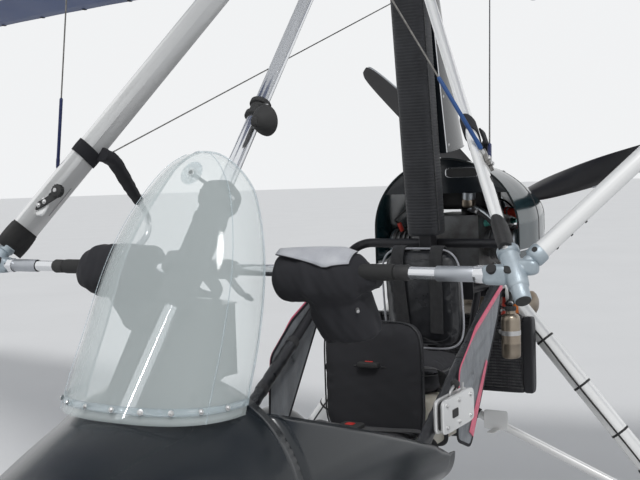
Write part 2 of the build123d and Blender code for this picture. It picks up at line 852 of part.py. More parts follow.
def cowl_form(wall, front, rear):
    """The cowl's outer form, or its inside when a wall is given."""
    half_width, low_z, side_z, crown = cowl_half_width, cowl_low_z, cowl_side_z, cowl_crown_z
    rows = (
        (front, half_width, low_z, side_z, crown),
        (cowl_middle_x, half_width - 3, low_z + 5, side_z + 5, crown - 14),
        (rear, cowl_rear_half_width, low_z + 50, side_z + 30, cowl_rear_crown_z),
    )
    sections = []
    for x, half, low, side, top in rows:
        inner, base = half - wall, low - (60 if wall > 0 else 0)
        sections.append(Face(Wire([
            Line((x, -inner, base), (x, inner, base)),
            Line((x, inner, base), (x, inner, side)),
            ThreePointArc((x, inner, side), (x, 0, top - wall), (x, -inner, side)),
            Line((x, -inner, side), (x, -inner, base)),
        ])))
    return loft(sections, ruled=True)


def engine_cowl():
    """The hood over the engine, open below, ahead and behind."""
    outer = cowl_form(0.0, cowl_front_x, cowl_rear_x)
    inner = cowl_form(cowl_wall, cowl_front_x + 20, cowl_rear_x - 20)
    body = outer - inner
    bearer = block(-640, -600, -reach, reach, crankcase_top + seat_gap, crankcase_top + 16) & outer
    panel_low = (cowl_side_z + cowl_crown_z) / 2
    front = block(cowl_front_x - cowl_wall, cowl_front_x, -reach, reach, panel_low, reach) & outer
    intake = (cowl_front_x, intake_y, cowl_crown_z - intake_drop)
    slot_plane = Plane(origin=intake, x_dir=(0, 1, 0), z_dir=(-1, 0, 0))
    slot = slot_plane * RectangleRounded(intake_width, intake_height, intake_height * 0.45)
    return body + bearer + (front - extrude(slot, cowl_wall))


def exhaust():
    """The silencer across the back, below the gearbox."""
    body = rod((-955, -190, 850), (-955, 190, 850), 50)
    for side in (-1, 1):
        y = side * 60
        body += rod((-850, y, 886), (-850, y, engine_bottom_z - seat_gap), 18)
        body += rod((-850, y, 886), (-955, y, 860), 18)
        body += Pos(-850, y, 886) * Sphere(20)
    return body


def oil_tank():
    """The oil can and its bracket on the mast."""
    x, y, low, high = oil_can
    body = rod((x, y, low), (x, y, high), oil_can_radius)
    body += rod((x, y, high), (x, y, high + 12), oil_can_radius * 0.5)
    body += rod((x, y, high + 12), (x, y, high + 26), oil_can_radius * 0.62)
    body = fillet(body.edges().group_by(Axis.Z)[0], 8)
    body += block(x - 28, x - 18, mast_width / 2 + seat_gap, y - 5, low + 58, low + 88)
    return body


def radiator():
    """The radiator panel behind the engine posts."""
    return block(-560, -518 - seat_gap, -310, 310, 590, 860)


def mast_pad():
    """The padded sleeve on the mast behind the passenger."""
    low, length = 1160.0, 990.0
    body = extrude(mast_plane(low) * (Pos(pad_centre_x, 0) * RectangleRounded(pad_depth, 122, 30)), length)
    hole = Rectangle(mast_depth + 2 * seat_gap, mast_width + 2 * seat_gap)
    return body - extrude(mast_plane(low - 50) * hole, length + 200)


def mast_fairing():
    """The tapered streamlined shell behind the mast."""
    sections = []
    x = pad_centre_x - pad_depth / 2 - seat_gap
    for z, chord, half in ((1432, 300, 72), (1790, 200, 58), (2150, 130, 46)):
        sections.append(mast_plane(z) * Face(Wire([
            Line((x, -half), (x, half)),
            ThreePointArc((x, half), (x - chord * 0.5, half * 0.84), (x - chord, 4)),
            Line((x - chord, 4), (x - chord, -4)),
            ThreePointArc((x - chord, -4), (x - chord * 0.5, -half * 0.84), (x, -half)),
        ])))
    return loft(sections, ruled=True)


def strut_mirror():
    """The round mirror and its clamp on the front strut."""
    z = mirror_clamp_z
    x = strut_x(z)
    body = rod((strut_x(z - 12), 0, z - 12), (strut_x(z + 14), 0, z + 14), strut_radius + 4)
    for step in (-18, 8):
        low, high = z + step, z + step + 12
        body += rod((strut_x(low), 0, low), (strut_x(high), 0, high), strut_radius + 10)
    body += rod((x, 0, z), (x + 60, 55, z - 30), 9)
    body += rod((x + 60, 60, z - 30), (x + 92, 60, z - 30), mirror_radius)
    body -= rod(strut_foot, strut_head, strut_radius + seat_gap)
    return body


# Undercarriage

def between(start, end, radius, y0, y1):
    """A round bar along a line, cut square at two distances out from the middle."""
    run = Vector(*end) - Vector(*start)
    low = Vector(*start) - run * 0.2
    high = Vector(*end) + run * 0.2
    return rod(tuple(low), tuple(high), radius) & block(-reach, reach, y0 + seat_gap, y1 - seat_gap, 0, reach)


def rear_leg():
    """The port rear leg, from the cross tube to the hub carrier."""
    top = (leg_cross_x, leg_cross_half, rail_z - leg_cross_drop)
    return between(top, (rear_axle_x, carrier_y, 306), leg_radius, leg_cross_half, carrier_y)


def lower_arm():
    """The port lower arm, from the keel to the hub carrier."""
    inner = keel_width / 2
    return between((-630, inner, keel_z + 10), (rear_axle_x, carrier_y, 214), 15, inner, carrier_y)


def rear_carrier():
    """The port hub carrier with its stub axle."""
    body = block(rear_axle_x - 36, rear_axle_x + 36, carrier_y, carrier_y + carrier_thickness, 165, 362)
    inner = (rear_axle_x, carrier_y + 10, rear_wheel_radius)
    body += rod(inner, (rear_axle_x, half_track + spat_half_width + 6, rear_wheel_radius), axle_radius)
    return body


def spat_form(wall):
    """The spat's side view about the axle: a round front and a long tail."""
    radius = rear_wheel_radius + spat_clearance - wall
    tail_x = 2 * wall - spat_tail
    front = (radius * 0.8, -radius * 0.6)
    tail_low = (tail_x + 30, front[1])
    shape = Face(Wire([
        ThreePointArc(front, (radius * cos(radians(30)), radius / 2), (0, radius)),
        ThreePointArc((0, radius), (tail_x * 0.55, radius * 0.66), (tail_x, -30)),
        Line((tail_x, -30), tail_low),
        Line(tail_low, front),
    ]))
    solid = extrude(Plane.XZ * shape, spat_half_width - wall, both=True)
    return Pos(rear_axle_x, half_track, rear_wheel_radius) * solid


def spat():
    """The port wheel spat: a streamlined shell open below."""
    body = spat_form(0.0) - spat_form(spat_wall)
    low = rear_wheel_radius - 90
    body = body & block(-reach, reach, 0, reach, low, reach)
    hole = (rear_axle_x, half_track - 200, rear_wheel_radius)
    body -= rod(hole, (rear_axle_x, half_track + 200, rear_wheel_radius), axle_radius + seat_gap)
    return body


def tyre(centre, radius, width):
    """A round-shouldered tyre about a y axis."""
    x, y, z = centre
    half = width / 2
    bead = half * 0.72
    inner_z = z + rim_radius + seat_gap
    belly_z = (z + radius + inner_z) / 2
    shoulder_z = z + radius - tyre_crown
    profile = Face(Wire([
        Line((x, y - bead, inner_z), (x, y + bead, inner_z)),
        ThreePointArc((x, y + bead, inner_z), (x, y + half, belly_z), (x, y + bead, shoulder_z)),
        ThreePointArc((x, y + bead, shoulder_z), (x, y, z + radius), (x, y - bead, shoulder_z)),
        ThreePointArc((x, y - bead, shoulder_z), (x, y - half, belly_z), (x, y - bead, inner_z)),
    ]))
    return revolve(profile, Axis(centre, (0, 1, 0)))


def rim(centre, width):
    """A one-piece wheel: barrel, dished disc with holes, and hub."""
    x, y, z = centre
    half = width * 0.36
    axis_plane = Plane(origin=(x, y - half, z), z_dir=(0, 1, 0))
    body = extrude(axis_plane * (Circle(rim_radius) - Circle(rim_radius - 8)), 2 * half)
    disc = Plane(origin=(x, y - 6, z), z_dir=(0, 1, 0))
    body += extrude(disc * Circle(rim_radius - 6), 12)
    body += extrude(axis_plane * Circle(28), 2 * half)
    holes = disc * PolarLocations(62, 6)
    for hole in holes:
        body -= extrude(hole * Circle(14), 12)
    body -= extrude(axis_plane * Circle(axle_radius + running_fit), 2 * half)
    return body


def front_fork():
    """Stem, crown, legs, axle and steering bar, on the steering axis."""
    frame = steer_frame()
    body = extrude(frame.offset(crown_low) * Circle(stem_radius), 100 - crown_low)
    crown = extrude(frame.offset(crown_low) * RectangleRounded(56, 2 * fork_leg_y + 30, 12), 18)
    body += crown
    for side in (-1, 1):
        shoulder = frame.from_local_coords(Vector(0, side * fork_leg_y, crown_low + 4))
        foot = (front_axle[0], side * fork_leg_y, front_axle[2])
        body += rod(tuple(shoulder), foot, fork_leg_radius)
        body += Pos(*foot) * Sphere(fork_leg_radius + 4)
    axle_x, axle_z = front_axle[0], front_axle[2]
    body += rod((axle_x, -fork_leg_y, axle_z), (axle_x, fork_leg_y, axle_z), axle_radius)
    top = frame.from_local_coords(Vector(0, 0, 100))
    half, peg = steering_bar_half, steering_peg_length
    body += rod((top.X, -half, top.Z), (top.X, half, top.Z), steering_bar_radius)
    for side in (-1, 1):
        inner, outer = (top.X, side * (half - peg), top.Z), (top.X, side * half, top.Z)
        body += rod(inner, outer, steering_bar_radius + 5)
    return body


def front_mudguard():
    """The mudguard under the fork's crown."""
    x, y, z = front_axle
    plane = Plane(origin=(x, -56, z), z_dir=(0, 1, 0))
    radius = z + 10
    ring = extrude(plane * (Circle(radius + 3) - Circle(radius)), 112)
    keep = block(x - 170, x + 150, -60, 60, z + 60, z + 400)
    boss = extrude(steer_frame().offset(crown_low - seat_gap - 40) * Circle(14), 40)
    boss -= extrude(plane * Circle(radius + 1), 112)
    return (ring & keep) + boss


# Propeller

def propeller_hub():
    """The hub discs on the shaft."""
    body = rod((prop_x + 34, 0, prop_z), (prop_x - 34, 0, prop_z), prop_hub_radius)
    body -= rod((prop_x + 40, 0, prop_z), (prop_x - 30, 0, prop_z), prop_shaft_radius + running_fit)
    return body


# radius share, chord, thickness, pitch angle
blade_rows = (
    (0.06, 56, 36, 50),
    (0.22, 104, 24, 36),
    (0.50, 118, 15, 24),
    (0.80, 92, 9, 17),
    (1.00, 52, 5, 14),
)


def propeller_blades():
    """Three twisted blades, fused with their root cuffs."""
    sections = []
    for share, chord, thick, pitch in blade_rows:
        station = Plane(origin=(0, share * prop_radius, 0), x_dir=(0, 0, 1), z_dir=(0, 1, 0))
        plane = station.rotated((0, pitch - 90, 0))
        half = chord / 2
        sections.append(plane * Face(Wire([
            ThreePointArc((-half, 0), (-half * 0.1, thick), (half, 0)),
            ThreePointArc((half, 0), (-half * 0.1, -thick * 0.15), (-half, 0)),
        ])))
    blade = loft(sections, ruled=True)
    blade -= rod((-60, 0, 0), (60, 0, 0), prop_hub_radius + seat_gap)
    blades = []
    for angle in prop_angles:
        blades.append((Pos(prop_x, 0, prop_z) * Rot(angle, 0, 0) * blade).solid())
    return Compound(blades)


def main():
    os.makedirs("parts", exist_ok=True)
    port_sail = sail()
    outer_pod = pod_solid()
    shapes = {
        "wing_keel": wing_keel(),
        "sail_left": port_sail,
        "sail_right": mirror(port_sail, about=Plane.XZ),
        "upright_left": upright(),
        "upright_right": mirror(upright(), about=Plane.XZ),
        "basebar": basebar(),
        "corner_fittings": pair(corner_fitting()),
        "wing_struts": pair(wing_strut(port_sail)),
        "frame_head": frame_head(),
        "hang_bracket": hang_bracket(),
        "hang_block": hang_block(),
        "bar_grips": bar_grips(),
        "bar_strap": bar_strap(),
        "hand_mitts": pair(hand_mitt()),
        "upright_bracket": upright_bracket(),
        "training_bars": Compound([strap_band().solid(), training_bar()]),
        "front_wires": wires(front_tang_x, tang_width / 2 + 3),
        "rear_wires": wires(rear_tang_x, -tang_width / 2 - 3),
        "trike_keel": trike_keel(),
        "mast": mast(),
        "mast_head": mast_head(),
        "mast_pad": mast_pad(),
        "mast_fairing": mast_fairing(),
        "front_strut": front_strut(),
        "strut_pad": strut_pad(),
        "strut_mirror": strut_mirror(),
        "pod": pod(),
        "windscreen": windscreen(outer_pod),
        "windscreen_stay": windscreen_stay(),
        "binnacle": binnacle(outer_pod),
        "seat_frame": seat_frame(),
        "front_seat_cushion": front_seat_cushion(),
        "front_seat_back": front_seat_back(),
        "rear_seat_cushion": rear_seat_cushion(),
        "rear_seat_back": rear_seat_back(),
        "fuel_tank": fuel_tank(),
        "side_panels": pair(side_panel()),
        "throttle_box": throttle_box(),
        "engine_mount": engine_mount(),
        "engine_block": engine_block(),
        "gearbox": gearbox(),
        "engine_cowl": engine_cowl(),
        "exhaust": exhaust(),
        "oil_tank": oil_tank(),
        "radiator": radiator(),
        "rear_legs": pair(rear_leg()),
        "lower_arms": pair(lower_arm()),
        "rear_carriers": pair(rear_carrier()),
        "rear_spats": pair(spat()),
        "front_fork": front_fork(),
        "front_mudguard": front_mudguard(),
        "front_tyre": tyre(front_axle, front_axle[2], front_tyre_width),
        "front_rim": rim(front_axle, front_tyre_width),
        "propeller_hub": propeller_hub(),
        "propeller_blades": propeller_blades(),
    }
    for name, side in (("left", 1), ("right", -1)):
        centre = (rear_axle_x, side * half_track, rear_wheel_radius)
        shapes["rear_tyre_" + name] = tyre(centre, rear_wheel_radius, rear_tyre_width)
        shapes["rear_rim_" + name] = rim(centre, rear_tyre_width)
    for name, shape in shapes.items():
        export_step(shape, "parts/" + name + ".step")


main()
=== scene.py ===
from math import cos, pi, radians, sin, tan

import bpy
import numpy as np
from mathutils import Matrix, Vector


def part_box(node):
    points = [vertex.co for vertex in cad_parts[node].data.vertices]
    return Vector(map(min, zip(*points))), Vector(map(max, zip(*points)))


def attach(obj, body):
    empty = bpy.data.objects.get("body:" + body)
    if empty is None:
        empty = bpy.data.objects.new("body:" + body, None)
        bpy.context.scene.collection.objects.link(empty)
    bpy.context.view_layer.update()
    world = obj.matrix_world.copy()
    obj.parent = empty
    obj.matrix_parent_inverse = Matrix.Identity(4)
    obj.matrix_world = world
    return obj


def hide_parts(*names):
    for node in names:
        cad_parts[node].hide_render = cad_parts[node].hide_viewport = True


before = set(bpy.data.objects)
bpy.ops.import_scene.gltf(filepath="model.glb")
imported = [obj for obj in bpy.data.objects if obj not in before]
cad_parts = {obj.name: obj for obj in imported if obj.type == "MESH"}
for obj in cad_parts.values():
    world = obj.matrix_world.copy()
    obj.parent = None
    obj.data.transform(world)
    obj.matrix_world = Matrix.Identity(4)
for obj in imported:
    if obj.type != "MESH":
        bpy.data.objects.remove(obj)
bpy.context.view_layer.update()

bl_info = {
    "name": "Flexwing microlight trike",
    "version": (1, 0, 0),
    "blender": (4, 5, 0),
    "location": "3D View > Sidebar > Trike",
    "description": "Dresses the packed trike: cloth, glass, paint, foam, engine and stage",
    "category": "Object",
}

# Places taken from the frame, in metres: x forward, y to port, z up
BAR_LOW, BAR_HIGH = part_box("basebar")
BAR_X = (BAR_LOW.x + BAR_HIGH.x) / 2
BAR_Z = (BAR_LOW.z + BAR_HIGH.z) / 2
BAR_HALF = 0.750
CORNER = np.array((BAR_X, BAR_HALF, BAR_Z))
FRAME_TOP = np.array((0.045, 0.036, 2.440))
KEEL_SLOPE = radians(13)
WING_KEEL_AT_FRAME = 2.508
WING_NOSE_X = 1.290
HALF_SPAN = 4.300
STRUT_FOOT = np.array((1.485, 0.0, 0.586))
STRUT_HEAD = np.array((0.043, 0.0, 2.316))
STRUT_RADIUS = 0.019
MAST_FOOT = np.array((-0.420, 0.0, 0.515))
MAST_TOP = np.array((-0.222, 0.0, 2.300))
PROP_CENTRE = np.array((-1.100, 0.0, 1.240))
REAR_AXLE_X = -0.640
HALF_TRACK = 0.850
FRONT_AXLE = np.array((1.420, 0.0, 0.178))
SEAT_TUBE_Y = 0.300

# The camera that sees the aircraft as the photograph does
CAMERA_PLACE = (2.913, 1.452, 1.363)
CAMERA_YAW = 29.96
CAMERA_PITCH = -3.42
CAMERA_ROLL = -1.84
CAMERA_FOCAL_PIXELS = 1032.0
PHOTO_WIDTH_PIXELS = 640.0
SENSOR_MM = 36.0


# Shapes

class Shape:
    """One surface: points, quads with the flat place of each corner, many-sided caps and a finish number."""

    def __init__(self, points, quads, flat, caps=(), finish=0):
        self.points = np.asarray(points, float).reshape(-1, 3)
        self.quads = np.asarray(quads, int).reshape(-1, 4)
        self.flat = np.asarray(flat, float).reshape(-1, 4, 2)
        self.caps = [np.asarray(cap, int) for cap in caps]
        self.finish = finish

    def moved(self, turn=None, shift=(0, 0, 0)):
        """The same surface, turned by a matrix and then shifted."""
        points = self.points if turn is None else self.points @ np.asarray(turn).T
        return Shape(points + np.asarray(shift), self.quads, self.flat, self.caps, self.finish)

    def mirrored(self):
        """The surface on the other side of the middle plane, its faces turned to point out again."""
        points = self.points * (1, -1, 1)
        caps = [cap[::-1] for cap in self.caps]
        return Shape(points, self.quads[:, ::-1], self.flat[:, ::-1], caps, self.finish)


def skin(rows, wrap=False, caps=False, finish=0):
    """The surface over a grid of points, its flat places being the lengths along rows and columns."""
    rows = np.asarray(rows, float)
    count, width = rows.shape[:2]
    ring = np.concatenate([rows, rows[:, :1]], axis=1) if wrap else rows
    along = np.concatenate([[0], np.cumsum(np.linalg.norm(np.diff(rows, axis=0), axis=2).mean(axis=1))])
    across = np.concatenate([[0], np.cumsum(np.linalg.norm(np.diff(ring, axis=1), axis=2).mean(axis=0))])
    r, c = np.meshgrid(np.arange(count - 1), np.arange(ring.shape[1] - 1), indexing="ij")
    corner_r = np.stack([r, r, r + 1, r + 1], axis=-1)
    corner_c = np.stack([c, c + 1, c + 1, c], axis=-1)
    quads = corner_r * width + corner_c % width
    flat = np.stack([across[corner_c], along[corner_r]], axis=-1)
    ends = []
    if caps:
        ends = [np.arange(width)[::-1], (count - 1) * width + np.arange(width)]
    return Shape(rows, quads, flat, ends, finish)


def ring_skin(rows, finish=0):
    """A grid of points joined to itself both ways."""
    rows = np.asarray(rows, float)
    shape = skin(np.concatenate([rows, rows[:1]]), wrap=True, finish=finish)
    total = rows.shape[0] * rows.shape[1]
    shape.quads = shape.quads % total
    shape.points = shape.points[:total]
    return shape


def sheeted(rows, depth, finish=0):
    """A thin closed sheet: the grid, its copy shifted by a depth behind it, and the edges between."""
    rows = np.asarray(rows, float)
    return skin(np.concatenate([rows, (rows + depth)[:, ::-1]], axis=1), wrap=True, caps=True, finish=finish)


def unit(vector):
    """A vector or an array of them at length one."""
    vector = np.asarray(vector, float)
    return vector / np.linalg.norm(vector, axis=-1, keepdims=True)


def smooth_line(points, steps=8):
    """A cubic through every point, whose slope at each is half the chord between its neighbours."""
    points = np.asarray(points, float)
    ends = np.concatenate([2 * points[:1] - points[1:2], points, 2 * points[-1:] - points[-2:-1]])
    a, b, c, d = (ends[i:len(ends) - 3 + i][:, None] for i in range(4))
    t = np.linspace(0, 1, steps, endpoint=False).reshape((1, steps) + (1,) * (points.ndim - 1))
    line = 0.5 * (2 * b + (c - a) * t + (2 * a - 5 * b + 4 * c - d) * t ** 2 + (3 * b - a - 3 * c + d) * t ** 3)
    return np.concatenate([line.reshape((-1,) + points.shape[1:]), points[-1:]])


def swept(path, profile, up=(0, 0, 1), scale=None, caps=True, finish=0):
    """A closed profile carried along a path, each point the path's plus side and rise times the profile.

    Without caps the path is a loop whose last point repeats its first.
    """
    path = np.asarray(path, float)
    path = path if caps else path[:-1]
    step = np.gradient(path, axis=0) if caps else np.roll(path, -1, axis=0) - np.roll(path, 1, axis=0)
    tangent = unit(step)
    side = unit(np.cross(tangent, up))
    rise = np.cross(side, tangent)
    scale = np.ones(len(path)) if scale is None else np.asarray(scale, float)
    profile = np.asarray(profile, float)
    rows = path[:, None] + scale[:, None, None] * (
        side[:, None] * profile[None, :, :1] + rise[:, None] * profile[None, :, 1:])
    if not caps:
        return ring_skin(rows[:, ::-1], finish)
    return skin(rows[:, ::-1], wrap=True, caps=True, finish=finish)


def circle(radius, count=24):
    """Points round a circle, anticlockwise."""
    angle = np.linspace(0, 2 * pi, count, endpoint=False)
    return radius * np.stack([np.cos(angle), np.sin(angle)], axis=1)


def superellipse(half_width, half_height, power=4.0, count=32):
    """Points round a soft rectangle: cosine and sine raised to two over the power, with their signs."""
    angle = np.linspace(0, 2 * pi, count, endpoint=False)
    c, s = np.cos(angle), np.sin(angle)
    return np.stack([
        half_width * np.sign(c) * np.abs(c) ** (2 / power),
        half_height * np.sign(s) * np.abs(s) ** (2 / power)], axis=1)


def tube(points, radius, steps=8, count=16, up=(0, 0, 1), finish=0):
    """A round hose or tube along a smooth line through the points."""
    return swept(smooth_line(points, steps), circle(radius, count), up, finish=finish)


def turned(profile, start, axis, count=32, finish=0):
    """A profile of (distance along, radius) pairs spun about an axis from a start point."""
    profile = np.asarray(profile, float)
    axis = unit(axis)
    helper = (0, 0, 1) if abs(axis[2]) < 0.9 else (1, 0, 0)
    side = unit(np.cross(axis, helper))
    rise = np.cross(axis, side)
    ring = circle(1.0, count)
    spoke = side * ring[:, :1] + rise * ring[:, 1:]
    rows = np.asarray(start) + profile[:, :1, None] * axis + profile[:, 1:, None] * spoke
    return skin(rows, wrap=True, caps=True, finish=finish)


def disc_rod(start, end, radius, bevel=0.001, count=24, finish=0):
    """A short bar with softened ends."""
    start, end = np.asarray(start, float), np.asarray(end, float)
    length = np.linalg.norm(end - start)
    bevel = min(bevel, length / 3, radius / 3)
    profile = [(0, radius - bevel), (bevel, radius), (length - bevel, radius), (length, radius - bevel)]
    return turned(profile, start, end - start, count, finish)


def cushion(centre, half, power=5.0, crown=0.0, turn=None, count=48, finish=0):
    """A soft box: the corners of a cube of sides two pulled in by a power, with a crowned top."""
    v = np.linspace(-pi / 2, pi / 2, count // 2 + 1)[:, None]
    u = np.linspace(0, 2 * pi, count, endpoint=False)[None, :]

    def soft(value):
        return np.sign(value) * np.abs(value) ** (2 / power)

    x = soft(np.cos(v)) * soft(np.cos(u))
    y = soft(np.cos(v)) * soft(np.sin(u))
    z = soft(np.sin(v)) * np.ones_like(u)
    lift = crown * (1 - x ** 2) * (1 - y ** 2)
    rows = np.stack([x * half[0], y * half[1], z * half[2] + np.sign(z) * lift], axis=-1)
    shape = skin(rows, wrap=True, caps=True, finish=finish)
    return shape.moved(turn, centre)


def slab(outline, origin, x_dir, y_dir, depth, bevel=0.0015, finish=0):
    """A plate: its outline in a plane, with softened edges, half the depth to each side."""
    outline = np.asarray(outline, float)
    x_dir, y_dir = unit(x_dir), unit(y_dir)
    normal = np.cross(x_dir, y_dir)
    middle = outline.mean(axis=0)
    inset = middle + (outline - middle) * (1 - bevel / np.abs(outline - middle).max())
    half = depth / 2
    levels = ((inset, -half), (outline, -half + bevel), (outline, half - bevel), (inset, half))
    rows = [np.asarray(origin) + o[:, :1] * x_dir + o[:, 1:] * y_dir + h * normal for o, h in levels]
    return skin(np.array(rows), wrap=True, caps=True, finish=finish)


def both_sides(shapes):
    """The port shapes and their mirror images."""
    shapes = list(shapes)
    return shapes + [shape.mirrored() for shape in shapes]


def piece(name, shapes, body, finishes, replaces=(), sharp=38.0, flip=False):
    """A finished object from shapes: the mesh keeps its place, and the object stays at the origin."""
    shapes = [shapes] if isinstance(shapes, Shape) else list(shapes)
    starts = np.cumsum([0] + [len(shape.points) for shape in shapes])
    points = np.concatenate([shape.points for shape in shapes])
    corners, sizes, numbers, flat = [], [], [], []
    for start, shape in zip(starts, shapes):
        corners.append((shape.quads + start).ravel())
        flat.append(shape.flat.reshape(-1, 2))
        sizes.append(np.full(len(shape.quads), 4))
        numbers.append(np.full(len(shape.quads), shape.finish))
        for cap in shape.caps:
            corners.append(cap + start)
            flat.append(np.zeros((len(cap), 2)))
            sizes.append([len(cap)])
            numbers.append([shape.finish])
    corners, sizes = np.concatenate(corners), np.concatenate(sizes)
    mesh = bpy.data.meshes.new(name)
    mesh.vertices.add(len(points))
    mesh.vertices.foreach_set("co", points.ravel())
    mesh.loops.add(len(corners))
    mesh.loops.foreach_set("vertex_index", corners)
    mesh.polygons.add(len(sizes))
    mesh.polygons.foreach_set("loop_start", np.concatenate([[0], np.cumsum(sizes)[:-1]]))
    mesh.polygons.foreach_set("material_index", np.concatenate(numbers))
    mesh.polygons.foreach_set("use_smooth", np.ones(len(sizes), bool))
    mesh.update(calc_edges=True)
    layer = mesh.uv_layers.new(name="flat")
    layer.data.foreach_set("uv", np.concatenate(flat).ravel())
    mesh.validate()
    if flip:
        mesh.flip_normals()
    mesh.set_sharp_from_angle(angle=radians(sharp))
    made = bpy.data.objects.new(name, mesh)
    bpy.context.scene.collection.objects.link(made)
    for finish in [finishes] if isinstance(finishes, str) else finishes:
        mesh.materials.append(finish_named(finish))
    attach(made, body)
    if replaces:
        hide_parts(*replaces)
    return made


def thicken(made, wall, offset=-1.0):
    """Gives an open skin its wall."""
    solid = made.modifiers.new("wall", "SOLIDIFY")
    solid.thickness = wall
    solid.offset = offset
    solid.use_even_offset = True
    return made


def smoothed(made, levels=1):
    """One more subdivision of a piece."""
    finer = made.modifiers.new("smooth", "SUBSURF")
    finer.levels = levels
    finer.render_levels = levels
    return made


# Finishes

class Finish:
    """A node material built up in layers: colour, roughness and bump."""

    def __init__(self, name, colour, roughness, metallic=0.0, **sockets):
        self.material = bpy.data.materials.new(name)
        self.material.use_nodes = True
        self.nodes = self.material.node_tree.nodes
        self.links = self.material.node_tree.links
        self.shader = self.nodes["Principled BSDF"]
        self.colour = colour
        self.shader.inputs["Base Color"].default_value = (*colour, 1)
        self.shader.inputs["Roughness"].default_value = roughness
        self.shader.inputs["Metallic"].default_value = metallic
        for socket, value in sockets.items():
            self.shader.inputs[socket.replace("_", " ").title().replace("Ior", "IOR")].default_value = value
        self.height = None

    def node(self, kind, **settings):
        made = self.nodes.new(kind)
        for key, value in settings.items():
            if key in made.inputs:
                made.inputs[key].default_value = value
            else:
                setattr(made, key, value)
        return made

    def where(self, stretch=(1, 1, 1), flat=False, turn=(0, 0, 0)):
        """Object coordinates, or the piece's flat places, stretched and turned."""
        source = self.node("ShaderNodeTexCoord")
        mapping = self.node("ShaderNodeMapping")
        mapping.inputs["Scale"].default_value = stretch
        mapping.inputs["Rotation"].default_value = [radians(a) for a in turn]
        self.links.new(source.outputs["UV" if flat else "Object"], mapping.inputs["Vector"])
        return mapping.outputs["Vector"]

    def noise(self, scale, detail=4.0, rough=0.55, **place):
        made = self.node("ShaderNodeTexNoise", Scale=scale, Detail=detail, Roughness=rough)
        self.links.new(self.where(**place), made.inputs["Vector"])
        return made.outputs["Fac"]

    def spread(self, value, low, high, start=0.3, end=0.7):
        made = self.node("ShaderNodeMapRange")
        for socket, number in (("From Min", start), ("From Max", end), ("To Min", low), ("To Max", high)):
            made.inputs[socket].default_value = number
        self.links.new(value, made.inputs["Value"])
        return made.outputs["Result"]

    def blend(self, factor, first, second):
        """A colour between two, each a triple or another colour output."""
        made = self.node("ShaderNodeMix", data_type="RGBA")
        self.links.new(factor, made.inputs["Factor"])
        for colour, number in ((first, 6), (second, 7)):
            if isinstance(colour, tuple):
                made.inputs[number].default_value = (*colour, 1)
            else:
                self.links.new(colour, made.inputs[number])
        return made.outputs[2]

    def paint(self, colour_output):
        self.links.new(colour_output, self.shader.inputs["Base Color"])
        return self

    def mottle(self, other, scale, detail=4.0, start=0.35, end=0.7, **place):
        """Wanders between the base colour and another."""
        factor = self.spread(self.noise(scale, detail, **place), 0, 1, start, end)
        return self.paint(self.blend(factor, self.colour, other))

    def scuff(self, low, high, scale, detail=5.0, **place):
        """Lets the roughness wander."""
        rough = self.spread(self.noise(scale, detail, **place), low, high)
        self.links.new(rough, self.shader.inputs["Roughness"])
        return self

    def bump(self, value, depth, strength=1.0):
        """Lays a height on top of those before it; depth is in metres."""
        made = self.node("ShaderNodeBump", Strength=strength, Distance=depth)
        self.links.new(value, made.inputs["Height"])
        if self.height is not None:
            self.links.new(self.height, made.inputs["Normal"])
        self.height = made.outputs["Normal"]
        self.links.new(self.height, self.shader.inputs["Normal"])
        return self

    def grain(self, scale, depth, detail=3.0, **place):
        return self.bump(self.noise(scale, detail, **place), depth)

    def twist(self, scale, depth):
        """Slanting waves, as in a rope's lay."""
        wave = self.node("ShaderNodeTexWave", bands_direction="DIAGONAL")
        wave.inputs["Scale"].default_value = scale
        self.links.new(self.where(flat=True), wave.inputs["Vector"])
        return self.bump(wave.outputs["Fac"], depth)

    def pores(self, scale, depth):
        """Small round dents, as in foam."""
        made = self.node("ShaderNodeTexVoronoi", Scale=scale)
        self.links.new(self.where(), made.inputs["Vector"])
        return self.bump(made.outputs["Distance"], depth)

    def weave(self, pitch, depth, flat=True, diagonal=0.0):
        """Crossed threads: two waves at right angles, multiplied."""
        waves = []
        for direction in ("X", "Y"):
            wave = self.node("ShaderNodeTexWave", bands_direction=direction)
            wave.inputs["Scale"].default_value = 0.314 / pitch
            self.links.new(self.where(flat=flat, turn=(0, 0, diagonal)), wave.inputs["Vector"])
            waves.append(wave.outputs["Fac"])
        cross = self.node("ShaderNodeMath", operation="MULTIPLY")
        self.links.new(waves[0], cross.inputs[0])
        self.links.new(waves[1], cross.inputs[1])
        return self.bump(cross.outputs[0], depth)


